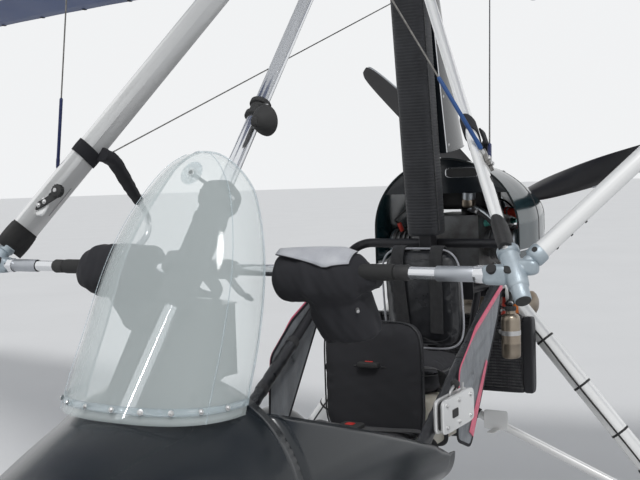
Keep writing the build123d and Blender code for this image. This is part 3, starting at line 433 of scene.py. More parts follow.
# Each finish: what Finish takes, then its layers in order, each a method with its values
FINISHES = {
    "white_paint": (dict(colour=(0.80, 0.80, 0.81), roughness=0.34, coat_weight=0.25, coat_roughness=0.15),
        ("mottle", (0.74, 0.74, 0.745), 5.0), ("scuff", 0.28, 0.42, 30.0), ("grain", 220.0, 0.0002)),
    "black_paint": (dict(colour=(0.014, 0.015, 0.017), roughness=0.38),
        ("mottle", (0.028, 0.029, 0.031), 9.0), ("scuff", 0.3, 0.5, 24.0), ("grain", 260.0, 0.0002)),
    "polished_alloy": (dict(colour=(0.60, 0.61, 0.64), roughness=0.34, metallic=1.0),
        ("mottle", (0.52, 0.53, 0.56), 7.0), ("scuff", 0.28, 0.40, 12.0, dict(stretch=(1, 0.2, 1))),
        ("grain", 90.0, 0.00002)),
    "satin_alloy": (dict(colour=(0.42, 0.44, 0.47), roughness=0.42, metallic=1.0),
        ("mottle", (0.50, 0.52, 0.55), 12.0), ("scuff", 0.36, 0.5, 60.0), ("grain", 500.0, 0.0001)),
    "cast_alloy": (dict(colour=(0.40, 0.44, 0.48), roughness=0.46, metallic=0.75),
        ("mottle", (0.52, 0.56, 0.60), 22.0), ("scuff", 0.36, 0.58, 40.0), ("grain", 330.0, 0.0006)),
    "steel": (dict(colour=(0.48, 0.48, 0.47), roughness=0.32, metallic=1.0),
        ("mottle", (0.36, 0.35, 0.33), 40.0), ("scuff", 0.25, 0.45, 60.0), ("grain", 600.0, 0.0001)),
    "wire_rope": (dict(colour=(0.20, 0.19, 0.18), roughness=0.40, metallic=0.9),
        ("mottle", (0.34, 0.33, 0.31), 120.0), ("twist", 160.0, 0.0005)),
    "black_gloss": (dict(colour=(0.008, 0.011, 0.014), roughness=0.20, coat_weight=0.22, coat_roughness=0.06,
                         specular_ior_level=0.32),
        ("mottle", (0.016, 0.026, 0.030), 3.0), ("scuff", 0.08, 0.2, 14.0), ("grain", 9.0, 0.0012, 1.0)),
    "teal_gloss": (dict(colour=(0.008, 0.030, 0.038), roughness=0.22, coat_weight=0.26, coat_roughness=0.08,
                        specular_ior_level=0.36),
        ("mottle", (0.012, 0.048, 0.058), 2.5), ("scuff", 0.08, 0.22, 12.0), ("grain", 9.0, 0.0010, 1.0)),
    "black_plastic": (dict(colour=(0.018, 0.018, 0.020), roughness=0.45),
        ("mottle", (0.032, 0.032, 0.034), 30.0), ("scuff", 0.38, 0.55, 50.0), ("grain", 420.0, 0.0004)),
    "black_rubber": (dict(colour=(0.016, 0.016, 0.017), roughness=0.62),
        ("mottle", (0.030, 0.029, 0.028), 18.0), ("scuff", 0.55, 0.75, 40.0), ("grain", 500.0, 0.0005)),
    "black_foam": (dict(colour=(0.014, 0.014, 0.017), roughness=0.78, sheen_weight=0.25, sheen_roughness=0.5),
        ("mottle", (0.026, 0.026, 0.030), 60.0), ("pores", 420.0, 0.0009), ("grain", 30.0, 0.0025, 2.0)),
    "black_cloth": (dict(colour=(0.013, 0.013, 0.016), roughness=0.62, sheen_weight=0.3, sheen_roughness=0.4),
        ("mottle", (0.024, 0.022, 0.026), 14.0), ("weave", 0.0012, 0.0004), ("grain", 16.0, 0.0050, 2.0)),
    "seat_cloth": (dict(colour=(0.020, 0.021, 0.024), roughness=0.75, sheen_weight=0.3, sheen_roughness=0.5),
        ("mottle", (0.034, 0.035, 0.040), 20.0), ("weave", 0.0018, 0.0007), ("grain", 12.0, 0.0030, 2.0)),
    "white_cloth": (dict(colour=(0.66, 0.67, 0.70), roughness=0.45, sheen_weight=0.2),
        ("mottle", (0.52, 0.53, 0.57), 18.0), ("weave", 0.0012, 0.0004), ("grain", 25.0, 0.0030, 2.0)),
    "sail_cloth": (dict(colour=(0.78, 0.79, 0.78), roughness=0.50, sheen_weight=0.1),
        ("mottle", (0.72, 0.73, 0.72), 1.6), ("weave", 0.0060, 0.0003), ("grain", 3.0, 0.0040, 2.0)),
    "sail_blue": (dict(colour=(0.018, 0.045, 0.150), roughness=0.50, sheen_weight=0.1),
        ("mottle", (0.024, 0.060, 0.185), 1.8), ("weave", 0.0060, 0.0003), ("grain", 3.0, 0.0040, 2.0)),
    "mesh_cloth": (dict(colour=(0.30, 0.32, 0.345), roughness=0.6, sheen_weight=0.3, alpha=0.86),
        ("mottle", (0.20, 0.215, 0.235), 9.0, dict(stretch=(3.0, 1, 0.6), turn=(0, 30, 0))),
        ("weave", 0.0022, 0.0006), ("grain", 10.0, 0.0060, 2.0, dict(stretch=(3.0, 1, 0.6), turn=(0, 30, 0)))),
    "pink_cloth": (dict(colour=(0.72, 0.075, 0.16), roughness=0.55, sheen_weight=0.3),
        ("mottle", (0.86, 0.16, 0.26), 25.0), ("weave", 0.0012, 0.0004), ("grain", 40.0, 0.0010)),
    "tyre_rubber": (dict(colour=(0.020, 0.020, 0.021), roughness=0.72),
        ("mottle", (0.060, 0.056, 0.050), 12.0, dict(start=0.45, end=0.8)), ("scuff", 0.6, 0.85, 30.0),
        ("grain", 300.0, 0.0006)),
    "blue_sleeve": (dict(colour=(0.012, 0.060, 0.210), roughness=0.42),
        ("mottle", (0.018, 0.085, 0.270), 40.0), ("grain", 200.0, 0.0003)),
    "navy_sleeve": (dict(colour=(0.012, 0.020, 0.085), roughness=0.45),
        ("mottle", (0.018, 0.030, 0.120), 40.0), ("grain", 200.0, 0.0003)),
    "clear_screen": (dict(colour=(0.34, 0.50, 0.60), roughness=0.04, alpha=0.022, ior=1.49),
        ("scuff", 0.005, 0.04, 6.0)),
    "screen_edge": (dict(colour=(0.74, 0.84, 0.88), roughness=0.18, transmission_weight=0.5, alpha=0.5),
        ("scuff", 0.12, 0.28, 60.0)),
    "red_hose": (dict(colour=(0.55, 0.035, 0.030), roughness=0.40),
        ("mottle", (0.70, 0.075, 0.040), 20.0), ("grain", 220.0, 0.0004)),
    "orange_hose": (dict(colour=(0.70, 0.16, 0.02), roughness=0.45),
        ("mottle", (0.80, 0.24, 0.04), 20.0), ("grain", 220.0, 0.0004)),
    "teal_anodised": (dict(colour=(0.10, 0.42, 0.36), roughness=0.35, metallic=0.6),
        ("mottle", (0.20, 0.55, 0.48), 40.0), ("grain", 300.0, 0.0003)),
    "bronze_can": (dict(colour=(0.36, 0.31, 0.25), roughness=0.34, metallic=1.0),
        ("mottle", (0.24, 0.20, 0.16), 9.0), ("scuff", 0.26, 0.44, 30.0, dict(stretch=(1, 1, 0.15))),
        ("grain", 260.0, 0.0002)),
    "engine_grey": (dict(colour=(0.20, 0.205, 0.21), roughness=0.5, metallic=0.7),
        ("mottle", (0.11, 0.105, 0.10), 18.0), ("scuff", 0.4, 0.62, 30.0), ("grain", 260.0, 0.0007)),
    "dial_face": (dict(colour=(0.015, 0.015, 0.016), roughness=0.35),
        ("mottle", (0.022, 0.022, 0.023), 60.0), ("grain", 300.0, 0.0001)),
    "dial_white": (dict(colour=(0.75, 0.76, 0.74), roughness=0.5),
        ("mottle", (0.68, 0.69, 0.67), 60.0), ("grain", 300.0, 0.0001)),
    "tank_plastic": (dict(colour=(0.46, 0.44, 0.38), roughness=0.5, subsurface_weight=0.1),
        ("mottle", (0.36, 0.34, 0.28), 4.0), ("grain", 160.0, 0.0006)),
    "pad_cloth": (dict(colour=(0.016, 0.016, 0.019), roughness=0.70, sheen_weight=0.25, sheen_roughness=0.5),
        ("mottle", (0.030, 0.029, 0.033), 16.0), ("weave", 0.0014, 0.0005), ("grain", 20.0, 0.0035, 2.0)),
    "pad_foam": (dict(colour=(0.013, 0.013, 0.015), roughness=0.66, sheen_weight=0.2, sheen_roughness=0.5),
        ("mottle", (0.026, 0.026, 0.029), 30.0), ("grain", 380.0, 0.0006), ("grain", 22.0, 0.0022, 2.0)),
    "ribbed_pad": (dict(colour=(0.015, 0.016, 0.019), roughness=0.55, sheen_weight=0.2, sheen_roughness=0.4),
        ("mottle", (0.032, 0.033, 0.038), 12.0), ("grain", 300.0, 0.0004)),
    "webbing": (dict(colour=(0.017, 0.017, 0.019), roughness=0.68, sheen_weight=0.2),
        ("mottle", (0.032, 0.032, 0.034), 50.0), ("weave", 0.0022, 0.0006)),
    "mirror_glass": (dict(colour=(0.82, 0.84, 0.86), roughness=0.03, metallic=1.0),
        ("scuff", 0.015, 0.05, 20.0)),
    "seat_vinyl": (dict(colour=(0.020, 0.021, 0.024), roughness=0.30, coat_weight=0.25, coat_roughness=0.2),
        ("mottle", (0.034, 0.035, 0.039), 14.0), ("scuff", 0.24, 0.40, 20.0), ("grain", 340.0, 0.0005),
        ("grain", 16.0, 0.0030, 2.0)),
    "red_button": (dict(colour=(0.55, 0.030, 0.025), roughness=0.38),
        ("mottle", (0.64, 0.045, 0.035), 30.0), ("grain", 300.0, 0.0002)),
    "exhaust_steel": (dict(colour=(0.38, 0.35, 0.31), roughness=0.36, metallic=1.0),
        ("mottle", (0.24, 0.19, 0.14), 8.0), ("scuff", 0.28, 0.5, 26.0), ("grain", 260.0, 0.0003)),
    "radiator_fin": (dict(colour=(0.10, 0.10, 0.105), roughness=0.5, metallic=0.8),
        ("mottle", (0.17, 0.17, 0.175), 40.0), ("grain", 500.0, 0.0002)),
    "propeller_black": (dict(colour=(0.012, 0.011, 0.013), roughness=0.36, coat_weight=0.4, coat_roughness=0.2),
        ("mottle", (0.022, 0.020, 0.022), 6.0), ("scuff", 0.28, 0.5, 16.0), ("grain", 200.0, 0.0002)),
    "training_finish": (dict(colour=(0.62, 0.63, 0.65), roughness=0.28, metallic=1.0),
        ("mottle", (0.50, 0.51, 0.53), 14.0), ("scuff", 0.2, 0.36, 30.0), ("grain", 300.0, 0.0001)),
    "corner_finish": (dict(colour=(0.36, 0.42, 0.46), roughness=0.44, metallic=0.55),
        ("mottle", (0.48, 0.54, 0.58), 22.0), ("scuff", 0.36, 0.56, 40.0), ("grain", 330.0, 0.0006)),
}


def made_finish(name):
    """A finish from its row in the table."""
    base, *layers = FINISHES[name]
    made = Finish(name, **base)
    for method, *values in layers:
        place = values.pop() if isinstance(values[-1], dict) else {}
        getattr(made, method)(*values, **place)
    return made


def finish_named(name):
    """The material of that name. One that the frame has loaded for a slot comes before the table's row."""
    known = bpy.data.materials.get(name)
    return known if known else made_finish(name).material


CAD_FINISHES = {
    "white_paint": ("upright_left", "upright_right", "wing_struts", "rear_legs", "lower_arms"),
    "polished_alloy": ("basebar", "front_strut", "wing_keel"),
    "cast_alloy": ("front_rim", "rear_rim_left", "rear_rim_right", "propeller_hub", "hang_block", "rear_carriers"),
    "satin_alloy": ("frame_head", "hang_bracket", "mast_head", "exhaust"),
    "black_paint": ("trike_keel", "mast", "seat_frame", "engine_mount", "front_fork", "radiator"),
    "engine_grey": ("gearbox", "engine_block"),
    "wire_rope": ("front_wires", "rear_wires"),
    "black_plastic": ("windscreen_stay", "throttle_box", "strut_mirror", "binnacle",
                      "upright_bracket"),
    "black_gloss": ("pod", "engine_cowl", "mast_fairing", "front_mudguard", "rear_spats"),
    "black_foam": ("mast_pad", "strut_pad", "bar_grips", "bar_strap"),
    "black_cloth": ("hand_mitts",),
    "seat_cloth": ("front_seat_cushion", "front_seat_back", "rear_seat_cushion", "rear_seat_back"),
    "sail_cloth": ("sail_left", "sail_right"),
    "mesh_cloth": ("side_panels",),
    "tyre_rubber": ("front_tyre", "rear_tyre_left", "rear_tyre_right"),
    "clear_screen": ("windscreen",),
    "bronze_can": ("oil_tank",),
    "tank_plastic": ("fuel_tank",),
    "propeller_black": ("propeller_blades",),
    "training_finish": ("training_bars",),
    "corner_finish": ("corner_fittings",),
}


def dress_nodes():
    """Gives every CAD node the material that finish_named finds for it."""
    for name, nodes in CAD_FINISHES.items():
        for node in nodes:
            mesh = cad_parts[node].data
            mesh.materials.clear()
            mesh.materials.append(finish_named(name))


# Places on the frame

def upright_axes():
    """The upright's directions: along it, forward across its chord, and outward."""
    along = unit(FRAME_TOP - CORNER)
    forward = unit(np.cross((0, 1, 0), along))
    return along, forward, np.cross(along, forward)


def strut_at(z):
    """A point on the front strut's axis at a height."""
    return STRUT_FOOT + (STRUT_HEAD - STRUT_FOOT) * (z - STRUT_FOOT[2]) / (STRUT_HEAD[2] - STRUT_FOOT[2])


def mast_at(z):
    """A point on the mast's axis at a height."""
    return MAST_FOOT + (MAST_TOP - MAST_FOOT) * (z - MAST_FOOT[2]) / (MAST_TOP[2] - MAST_FOOT[2])


def wing_keel_height(x):
    """The height of the wing keel's axis."""
    return WING_KEEL_AT_FRAME + (x - FRAME_TOP[0]) * tan(KEEL_SLOPE)


# Pieces

# height, edge x, front x, half width
SCREEN_ROWS = (
    (0.868, 1.125, 1.292, 0.226),
    (0.930, 1.098, 1.264, 0.224),
    (1.040, 1.045, 1.208, 0.218),
    (1.165, 1.000, 1.146, 0.205),
    (1.260, 0.965, 1.096, 0.178),
    (1.340, 0.930, 1.048, 0.138),
    (1.395, 0.925, 1.006, 0.092),
    (1.424, 0.925, 0.972, 0.048),
    (1.4335, 0.926, 0.950, 0.014),
)
SCREEN_POWER = 2.6


def screen_points(count):
    """Each height is a bow from edge to edge: depth times one minus the share of width to a power."""
    rows = smooth_line([list(row) for row in SCREEN_ROWS], 6)
    share = np.sin(np.linspace(-pi / 2, pi / 2, count))
    z, edge, front, half = (rows[:, i][:, None] for i in range(4))
    depth = (1 - np.abs(share[None, :]) ** SCREEN_POWER) ** (1 / SCREEN_POWER)
    return np.stack([
        edge + (front - edge) * depth,
        half * share[None, :],
        z + 0 * depth], axis=-1)


def make_screen(trike):
    """The bowed pane with its polished rim."""
    points = screen_points(57)
    pane = piece("screen_pane", skin(points), "trike", "clear_screen", ("windscreen",), flip=True)
    thicken(pane, trike.screen_thickness, 1.0)
    rim = smooth_line(np.concatenate([points[:-2:4, 0], points[-1:, 28], points[-3::-4, -1]]), 4)
    bead = swept(rim, superellipse(0.0022, 0.0022, 4.0, 12), up=(1, 0.01, 0.3))
    piece("screen_rim", bead, "trike", "screen_edge")


class TRIKE_OT_screen(bpy.types.Operator):
    """Bows the clear screen over the nose, with its polished edge"""
    bl_idname = "trike.screen"
    bl_label = "Windscreen"

    def execute(self, context):
        make_screen(context.scene.trike)
        return {"FINISHED"}


# station x, half width, floor, widest height, crown
POD_FRAMES = (
    (0.220, 0.322, 0.450, 0.600, 0.880),
    (0.640, 0.350, 0.450, 0.640, 0.930),
    (1.040, 0.345, 0.450, 0.650, 0.946),
    (1.230, 0.322, 0.450, 0.640, 0.884),
    (1.410, 0.272, 0.450, 0.626, 0.826),
    (1.560, 0.212, 0.452, 0.614, 0.778),
    (1.680, 0.150, 0.478, 0.604, 0.728),
    (1.765, 0.086, 0.522, 0.598, 0.672),
    (1.797, 0.036, 0.560, 0.598, 0.634),
)
COCKPIT_FRONT_X = 1.070
COCKPIT_FRONT_Z = 0.858
COCKPIT_REAR_X = 0.250
COCKPIT_REAR_Z = 0.585


def pod_ring(frames, start, end, count=65):
    """Round each station from one angle to another: above the widest line an ellipse, below a soft box."""
    x, half, low, side, top = (frames[:, i][:, None] for i in range(5))
    angle = start + (end - start) * np.linspace(0, 1, count)[None, :]
    c, s = np.cos(angle), np.sin(angle)
    y = half * np.sign(c) * np.abs(c) ** np.where(s > 0, 0.95, 0.62)
    z = side + np.where(s > 0, (top - side) * np.abs(s) ** 0.95, -(side - low) * np.abs(s) ** 0.62)
    return np.stack([x + 0 * y, y, z], axis=-1)


def make_pod(trike):
    """The nose is whole rings between its stations; the cockpit keeps what lies below the side line."""
    frames = smooth_line([list(row) for row in POD_FRAMES], 8)
    nose = frames[frames[:, 0] >= COCKPIT_FRONT_X - 0.001]
    tub = frames[frames[:, 0] <= nose[0, 0] + 0.001]
    side_line = np.interp(tub[:, 0], (COCKPIT_REAR_X, COCKPIT_FRONT_X), (COCKPIT_REAR_Z, COCKPIT_FRONT_Z))
    lift = np.clip((side_line - tub[:, 3]) / (tub[:, 4] - tub[:, 3]), -0.4, 0.98)
    rim_angle = np.arcsin(lift)[:, None]
    nose_skin = skin(pod_ring(nose, -pi / 2, 3 * pi / 2, 97))
    tub_skin = skin(pod_ring(tub, pi - rim_angle, 2 * pi + rim_angle, 81))
    shell = piece("pod_shell", [nose_skin, tub_skin], "trike", "black_gloss", ("pod",))
    thicken(shell, trike.pod_wall)


class TRIKE_OT_pod(bpy.types.Operator):
    """Moulds the gloss nose pod"""
    bl_idname = "trike.pod"
    bl_label = "Pod"

    def execute(self, context):
        make_pod(context.scene.trike)
        return {"FINISHED"}


def streamlined(nose, tail, half, count=40):
    """A tube's section: an ellipse ahead of its thickest place, drawn out to a thin tail behind it."""
    angle = np.linspace(0, 2 * pi, count, endpoint=False)
    c, s = np.cos(angle), np.sin(angle)
    ahead = np.where(c > 0, nose, tail) * c
    return np.stack([ahead, half * s * (1 - 0.4 * np.clip(-c, 0, 1))], axis=1)


def bolt(place, axis, radius=0.006, finish=0):
    """A hexagon head on its washer."""
    washer = [(0, radius * 1.5), (radius * 0.25, radius * 1.5), (radius * 0.3, radius * 1.4)]
    head = [(radius * 0.25, radius), (radius, radius), (radius * 1.15, radius * 0.8)]
    return [turned(washer, place, axis, 20, finish), turned(head, place, axis, 6, finish)]


def rounded_slab(origin, x_dir, y_dir, half_x, half_y, depth, power=5.0, bevel=0.002, finish=0):
    """A plate with a soft rectangular outline."""
    return slab(superellipse(half_x, half_y, power, 40), origin, x_dir, y_dir, depth, bevel, finish)


def applied(made):
    """Bakes an object's modifiers into its mesh."""
    graph = bpy.context.evaluated_depsgraph_get()
    mesh = bpy.data.meshes.new_from_object(made.evaluated_get(graph), depsgraph=graph)
    old = made.data
    made.modifiers.clear()
    made.data = mesh
    bpy.data.meshes.remove(old)
    return made


def mesh_points(mesh):
    """A mesh's points as an array."""
    flat = np.empty(len(mesh.vertices) * 3)
    mesh.vertices.foreach_get("co", flat)
    return flat.reshape(-1, 3)


def creased(points, normals, depth, pitch, seed):
    """Soft folds: the sum of five waves in seeded directions, the pitch being the longest."""
    rng = np.random.default_rng(seed)
    height = np.zeros(len(points))
    for share in (1.0, 0.8, 0.6, 0.45, 0.3):
        direction = unit(rng.normal(size=3))
        height += share * np.sin(points @ direction * 2 * pi / (pitch * share) + rng.uniform(0, 2 * pi))
    return points + normals * (depth / 3 * height)[:, None]


def plump(made, voxel=0.005, limit=0.010, folds=0.0, pitch=0.08, seed=1):
    """Remeshes a closed form evenly and lets it swell as cloth under pressure, no point past the limit."""
    even = made.modifiers.new("even", "REMESH")
    even.mode = "VOXEL"
    even.voxel_size = voxel
    applied(made)
    mesh = made.data
    start = mesh_points(mesh)
    moved = start
    cloth = made.modifiers.new("cloth", "CLOTH")
    cloth.settings.use_pressure = True
    cloth.settings.uniform_pressure_force = 4.0
    cloth.settings.effector_weights.gravity = 0.0
    cloth.settings.quality = 4
    cloth.point_cache.frame_end = 20
    for number in range(1, 21):
        bpy.context.scene.frame_set(number)
    graph = bpy.context.evaluated_depsgraph_get()
    swollen = mesh_points(made.evaluated_get(graph).data)
    made.modifiers.clear()
    bpy.context.scene.frame_set(1)
    move = swollen - start
    size = np.linalg.norm(move, axis=1, keepdims=True)
    moved = start + move * np.minimum(1, limit / np.maximum(size, 1e-9))
    if folds > 0:
        normals = np.empty(len(mesh.vertices) * 3)
        mesh.vertices.foreach_get("normal", normals)
        moved = creased(moved, normals.reshape(-1, 3), folds, pitch, seed)
    mesh.vertices.foreach_set("co", moved.ravel())
    mesh.polygons.foreach_set("use_smooth", np.ones(len(mesh.polygons), bool))
    mesh.update()
    smoothed(made)
    return made


# Control frame

UPRIGHT_LENGTH = float(np.linalg.norm(FRAME_TOP - CORNER))
PORT = 1
STARBOARD = -1


def upright_place(distance, ahead=0.0, out=0.0):
    """A point on the port upright, so far from the bar, ahead of its axis and outward."""
    along, forward, outward = upright_axes()
    return CORNER + along * distance + forward * ahead + outward * out


def upright_sleeve(low, high, grow, finish=0, steps=5, belly=0.0):
    """A sleeve on the upright between two distances, larger than its section by a growth in metres."""
    share = np.linspace(0, 1, steps)
    path = [upright_place(low + (high - low) * s) for s in share]
    profile = streamlined(0.0368 + grow, 0.0552 + grow, 0.013 + grow)
    return swept(path, profile, up=(0, -1, 0), scale=1 + belly * np.sin(pi * share), finish=finish)


def wing_strut_direction():
    """Out along the port wing strut, from the bar's corner towards the strut's end in the sail."""
    low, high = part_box("wing_struts")
    return unit(np.array((low.x, high.y, high.z)) - CORNER)


def make_corner_fittings():
    """Cast knuckles: a barrel on the upright's axis, a clevis on the bar, an arm out to the wing strut."""
    along, forward, outward = upright_axes()
    strut = wing_strut_direction()
    barrel = [(-0.064, 0.0165), (-0.062, 0.0178), (-0.034, 0.0186), (-0.030, 0.0215), (-0.012, 0.0235),
              (0.014, 0.0235), (0.030, 0.0205), (0.048, 0.0205), (0.052, 0.0240), (0.064, 0.0240), (0.067, 0.022)]
    bar_side = CORNER - (0, 0.060, 0)
    clevis = CORNER - (0, 0.038, 0)
    pin = CORNER + (0.0, -0.044, 0.001)
    arm = [(0.010, 0.0150), (0.046, 0.0150), (0.050, 0.0205), (0.053, 0.0218), (0.071, 0.0218), (0.074, 0.020)]
    shapes = [
        turned(barrel, CORNER, along, 40),
        cushion(clevis, (0.021, 0.030, 0.021), 4.5),
        turned([(0, 0.0170), (0.002, 0.0188), (0.022, 0.0192), (0.026, 0.0205)], bar_side, (0, 1, 0), 36),
        turned(arm, CORNER, strut, 36),
        cushion(CORNER + strut * 0.030 + (0, 0, -0.004), (0.017, 0.026, 0.017), 3.5),
        disc_rod(CORNER - along * 0.067, CORNER - along * 0.0625, 0.0160, finish=1),
        turned([(0.0, 0.0095), (0.0235, 0.0112), (0.0265, 0.0102)], pin, forward, 28, finish=1),
        rounded_slab(CORNER + forward * 0.0226 + (0, -0.010, 0.0), (0, 1, 0), along, 0.0085, 0.0095, 0.003, finish=1),
        disc_rod(CORNER + strut * 0.062 + forward * 0.0212, CORNER + strut * 0.062 + forward * 0.0228, 0.006,
                 finish=1),
        *bolt(CORNER + along * 0.058 + forward * 0.0238, forward, 0.0042, 2),
        *bolt(CORNER + along * 0.000 - outward * 0.0232, -outward, 0.0050, 2),
        *bolt(CORNER + strut * 0.058 + (0, 0, 0.0212), (0, 0, 1), 0.0042, 2),
        upright_sleeve(0.058, 0.128, 0.0035, 1, belly=0.05),
        upright_sleeve(0.128, 0.134, 0.0020, 1),
    ]
    piece("corner_castings", both_sides(shapes), "wing", ("corner_finish", "black_rubber", "steel"),
          ("corner_fittings",), sharp=32)


def make_upright_details():
    """Tail seams, the round plugs, the starboard bracket with its knob and the small strut holes."""
    outward = upright_axes()[2]
    inward = -outward
    strut = wing_strut_direction()
    side = unit(np.cross(strut, (1, 0, 0)))
    seam = [upright_place(d, -0.036, 0.0098) for d in (0.10, 0.24)]
    inner_seam = [upright_place(d, -0.036, -0.0098) for d in (0.20, 0.30)]
    shapes = [swept(line, circle(0.0006, 8), finish=1) for line in (seam, inner_seam)]
    shapes.append(turned([(0, 0.008), (0.0015, 0.0075), (0.0022, 0.005)], upright_place(0.248, 0.006, -0.0125),
                         inward, finish=1))
    shapes.append(turned([(0, 0.008), (0.0015, 0.0075), (0.0022, 0.005)], upright_place(0.248, 0.006, 0.0125),
                         outward, finish=1))
    for distance in (0.10, 0.14, 0.18):
        place = CORNER + strut * distance + side * STRUT_RADIUS
        shapes.append(disc_rod(place - side * 0.001, place + side * 0.0006, 0.0032, finish=1))
    piece("upright_details", both_sides(shapes), "wing", ("white_paint", "black_rubber"))
    mirror = np.array((1, -1, 1))
    root = upright_place(0.205, 0.010, -0.013) * mirror
    reach = unit(np.array((-0.10, 0.90, 0.42)))
    face = unit(np.array((0.86, 0.05, 0.20)))
    rise = unit(np.cross(face, reach))
    knob_at = root + reach * 0.088 + face * 0.010
    ribs = [(0.0, 0.010), (0.004, 0.0165), (0.012, 0.0175), (0.019, 0.0165), (0.022, 0.012), (0.0225, 0.0065)]
    bracket = [
        turned([(0, 0.027), (0.005, 0.027), (0.008, 0.024)], root - face * 0.004, face, 36),
        rounded_slab(root + reach * 0.032 + face * 0.008, reach, rise, 0.044, 0.0098, 0.006, 7.0, finish=1),
        turned(ribs, knob_at, face, 36, finish=1),
        turned([(0.0225, 0.0062), (0.0255, 0.0058), (0.026, 0.004)], knob_at, face, 20, finish=2),
        *bolt(root + reach * 0.004 + face * 0.011, face, 0.0045, 2),
        *bolt(root + reach * 0.026 + face * 0.011, face, 0.0045, 2),
    ]
    for index in range(14):
        angle = 2 * pi * index / 14
        rib = rise * cos(angle) + reach * sin(angle)
        place = knob_at + rib * 0.0168 + face * 0.012
        bracket.append(disc_rod(place - face * 0.007, place + face * 0.007, 0.0018, 0.0005, 8, 1))
    piece("knob_bracket", bracket, "wing", ("white_paint", "black_plastic", "steel"), ("upright_bracket",))


# Bar and its soft things

def lathe_along_bar(rows, y0, count=40, finish=0, centre_x=None, centre_z=None):
    """A profile of (distance, radius) spun about the bar from a span place outward to port."""
    start = (BAR_X if centre_x is None else centre_x, y0, BAR_Z if centre_z is None else centre_z)
    return turned(rows, start, (0, 1, 0), count, finish)


def make_bar_dressing():
    """Foam grips, satin sleeves, bright end rings and the rubber bar ends inside the grips."""
    grip = [(0.0, 0.0150), (0.002, 0.0178), (0.010, 0.0186), (0.140, 0.0183), (0.270, 0.0186), (0.278, 0.0178),
            (0.280, 0.0150)]
    piece("bar_foam", both_sides([lathe_along_bar(grip, 0.200)]), "wing", "black_foam", ("bar_grips",))
    outer = [(0.0, 0.0150), (0.002, 0.0172), (0.030, 0.0178), (0.034, 0.0160), (0.036, 0.0150)]
    sleeve = [(0.0, 0.0161), (0.001, 0.0166), (0.084, 0.0166), (0.085, 0.0161)]
    ring = [(0.0, 0.0164), (0.001, 0.0182), (0.003, 0.0188), (0.024, 0.0188), (0.026, 0.0178)]
    shapes = [
        lathe_along_bar(outer, 0.480, finish=0),
        lathe_along_bar(sleeve, 0.578, finish=1),
        lathe_along_bar(ring, 0.663, finish=2),
    ]
    piece("bar_sleeves", both_sides(shapes), "wing", ("black_rubber", "satin_alloy", "polished_alloy"))


def make_bar_wrap():
    """The padded wrap by which the bar is strapped to the front strut, with its webbing and loose tail."""
    rows = []
    for y in np.linspace(-0.098, 0.062, 15):
        end = min(abs(y + 0.098), abs(y - 0.062))
        radius = 0.0190 + 0.0045 * min(1, end / 0.012) + 0.0010 * sin(y * 210)
        rows.append((y + 0.098, radius))
    wrap = lathe_along_bar(rows, -0.098, 48)
    strut = unit(STRUT_HEAD - STRUT_FOOT)
    crossing = strut_at(1.165)
    ahead = unit(np.cross((0, 1, 0), strut))
    loop = []
    for angle in np.linspace(0, 2 * pi, 33)[:-1]:
        across = 0.046 * np.sign(cos(angle)) * abs(cos(angle)) ** 0.6
        deep = np.sign(sin(angle)) * abs(sin(angle)) ** 0.7
        reach = 0.044 if deep > 0 else 0.128
        loop.append(crossing + np.array((0, across - 0.012, 0)) + ahead * deep * reach)
    loop.append(loop[0])
    band = swept(smooth_line(loop, 3), superellipse(0.0022, 0.019, 6.0, 16), up=tuple(strut), caps=False)
    tail = [(0.930, 0.050, 1.150), (0.940, 0.085, 1.118), (0.938, 0.105, 1.098), (0.930, 0.122, 1.086)]
    end = swept(smooth_line(tail, 5), superellipse(0.0025, 0.016, 6.0, 16), up=(0.6, -0.4, 0.5))
    pale = [(0.931, 0.104, 1.100), (0.934, 0.118, 1.088)]
    tag = swept(pale, superellipse(0.0029, 0.0163, 6.0, 16), up=(0.6, -0.4, 0.5), finish=1)
    made = piece("bar_wrap", [wrap, band, end, tag], "wing", ("pad_cloth", "webbing"), ("bar_strap",), sharp=50)


def mitt_shapes(side):
    """A barrel round the grip whose lower half runs down into an open cuff for the wrist."""
    if side == PORT:
        barrel = [(0.0, 0.020), (0.004, 0.044), (0.020, 0.058), (0.090, 0.063), (0.170, 0.062), (0.205, 0.052),
                  (0.222, 0.034), (0.240, 0.026), (0.262, 0.0215)]
        start, centre_z = 0.178, BAR_Z - 0.013
        cuff = [(0.888, 0.315, 1.130), (0.868, 0.325, 1.075), (0.852, 0.340, 1.020), (0.846, 0.343, 0.998)]
        sizes = (0.88, 1.0, 0.93, 0.86)
        width = 0.078
    else:
        barrel = [(0.0, 0.020), (0.005, 0.046), (0.030, 0.066), (0.110, 0.072), (0.190, 0.070), (0.225, 0.058),
                  (0.245, 0.038), (0.256, 0.022)]
        start, centre_z = 0.172, BAR_Z - 0.010
        cuff = [(0.888, 0.262, 1.130), (0.868, 0.252, 1.075), (0.852, 0.242, 1.025), (0.846, 0.238, 1.003)]
        sizes = (1.0, 1.05, 0.92, 0.80)
        width = 0.088
    body = lathe_along_bar(barrel, start, 48, centre_x=BAR_X - 0.012, centre_z=centre_z)
    sleeve = swept(smooth_line(cuff, 5), superellipse(width, 0.050, 2.8, 40), up=(1, 0, 0),
                   scale=np.interp(np.linspace(0, 3, 16), range(4), sizes))
    shapes = [body, sleeve]
    return shapes if side == PORT else [shape.mirrored() for shape in shapes]


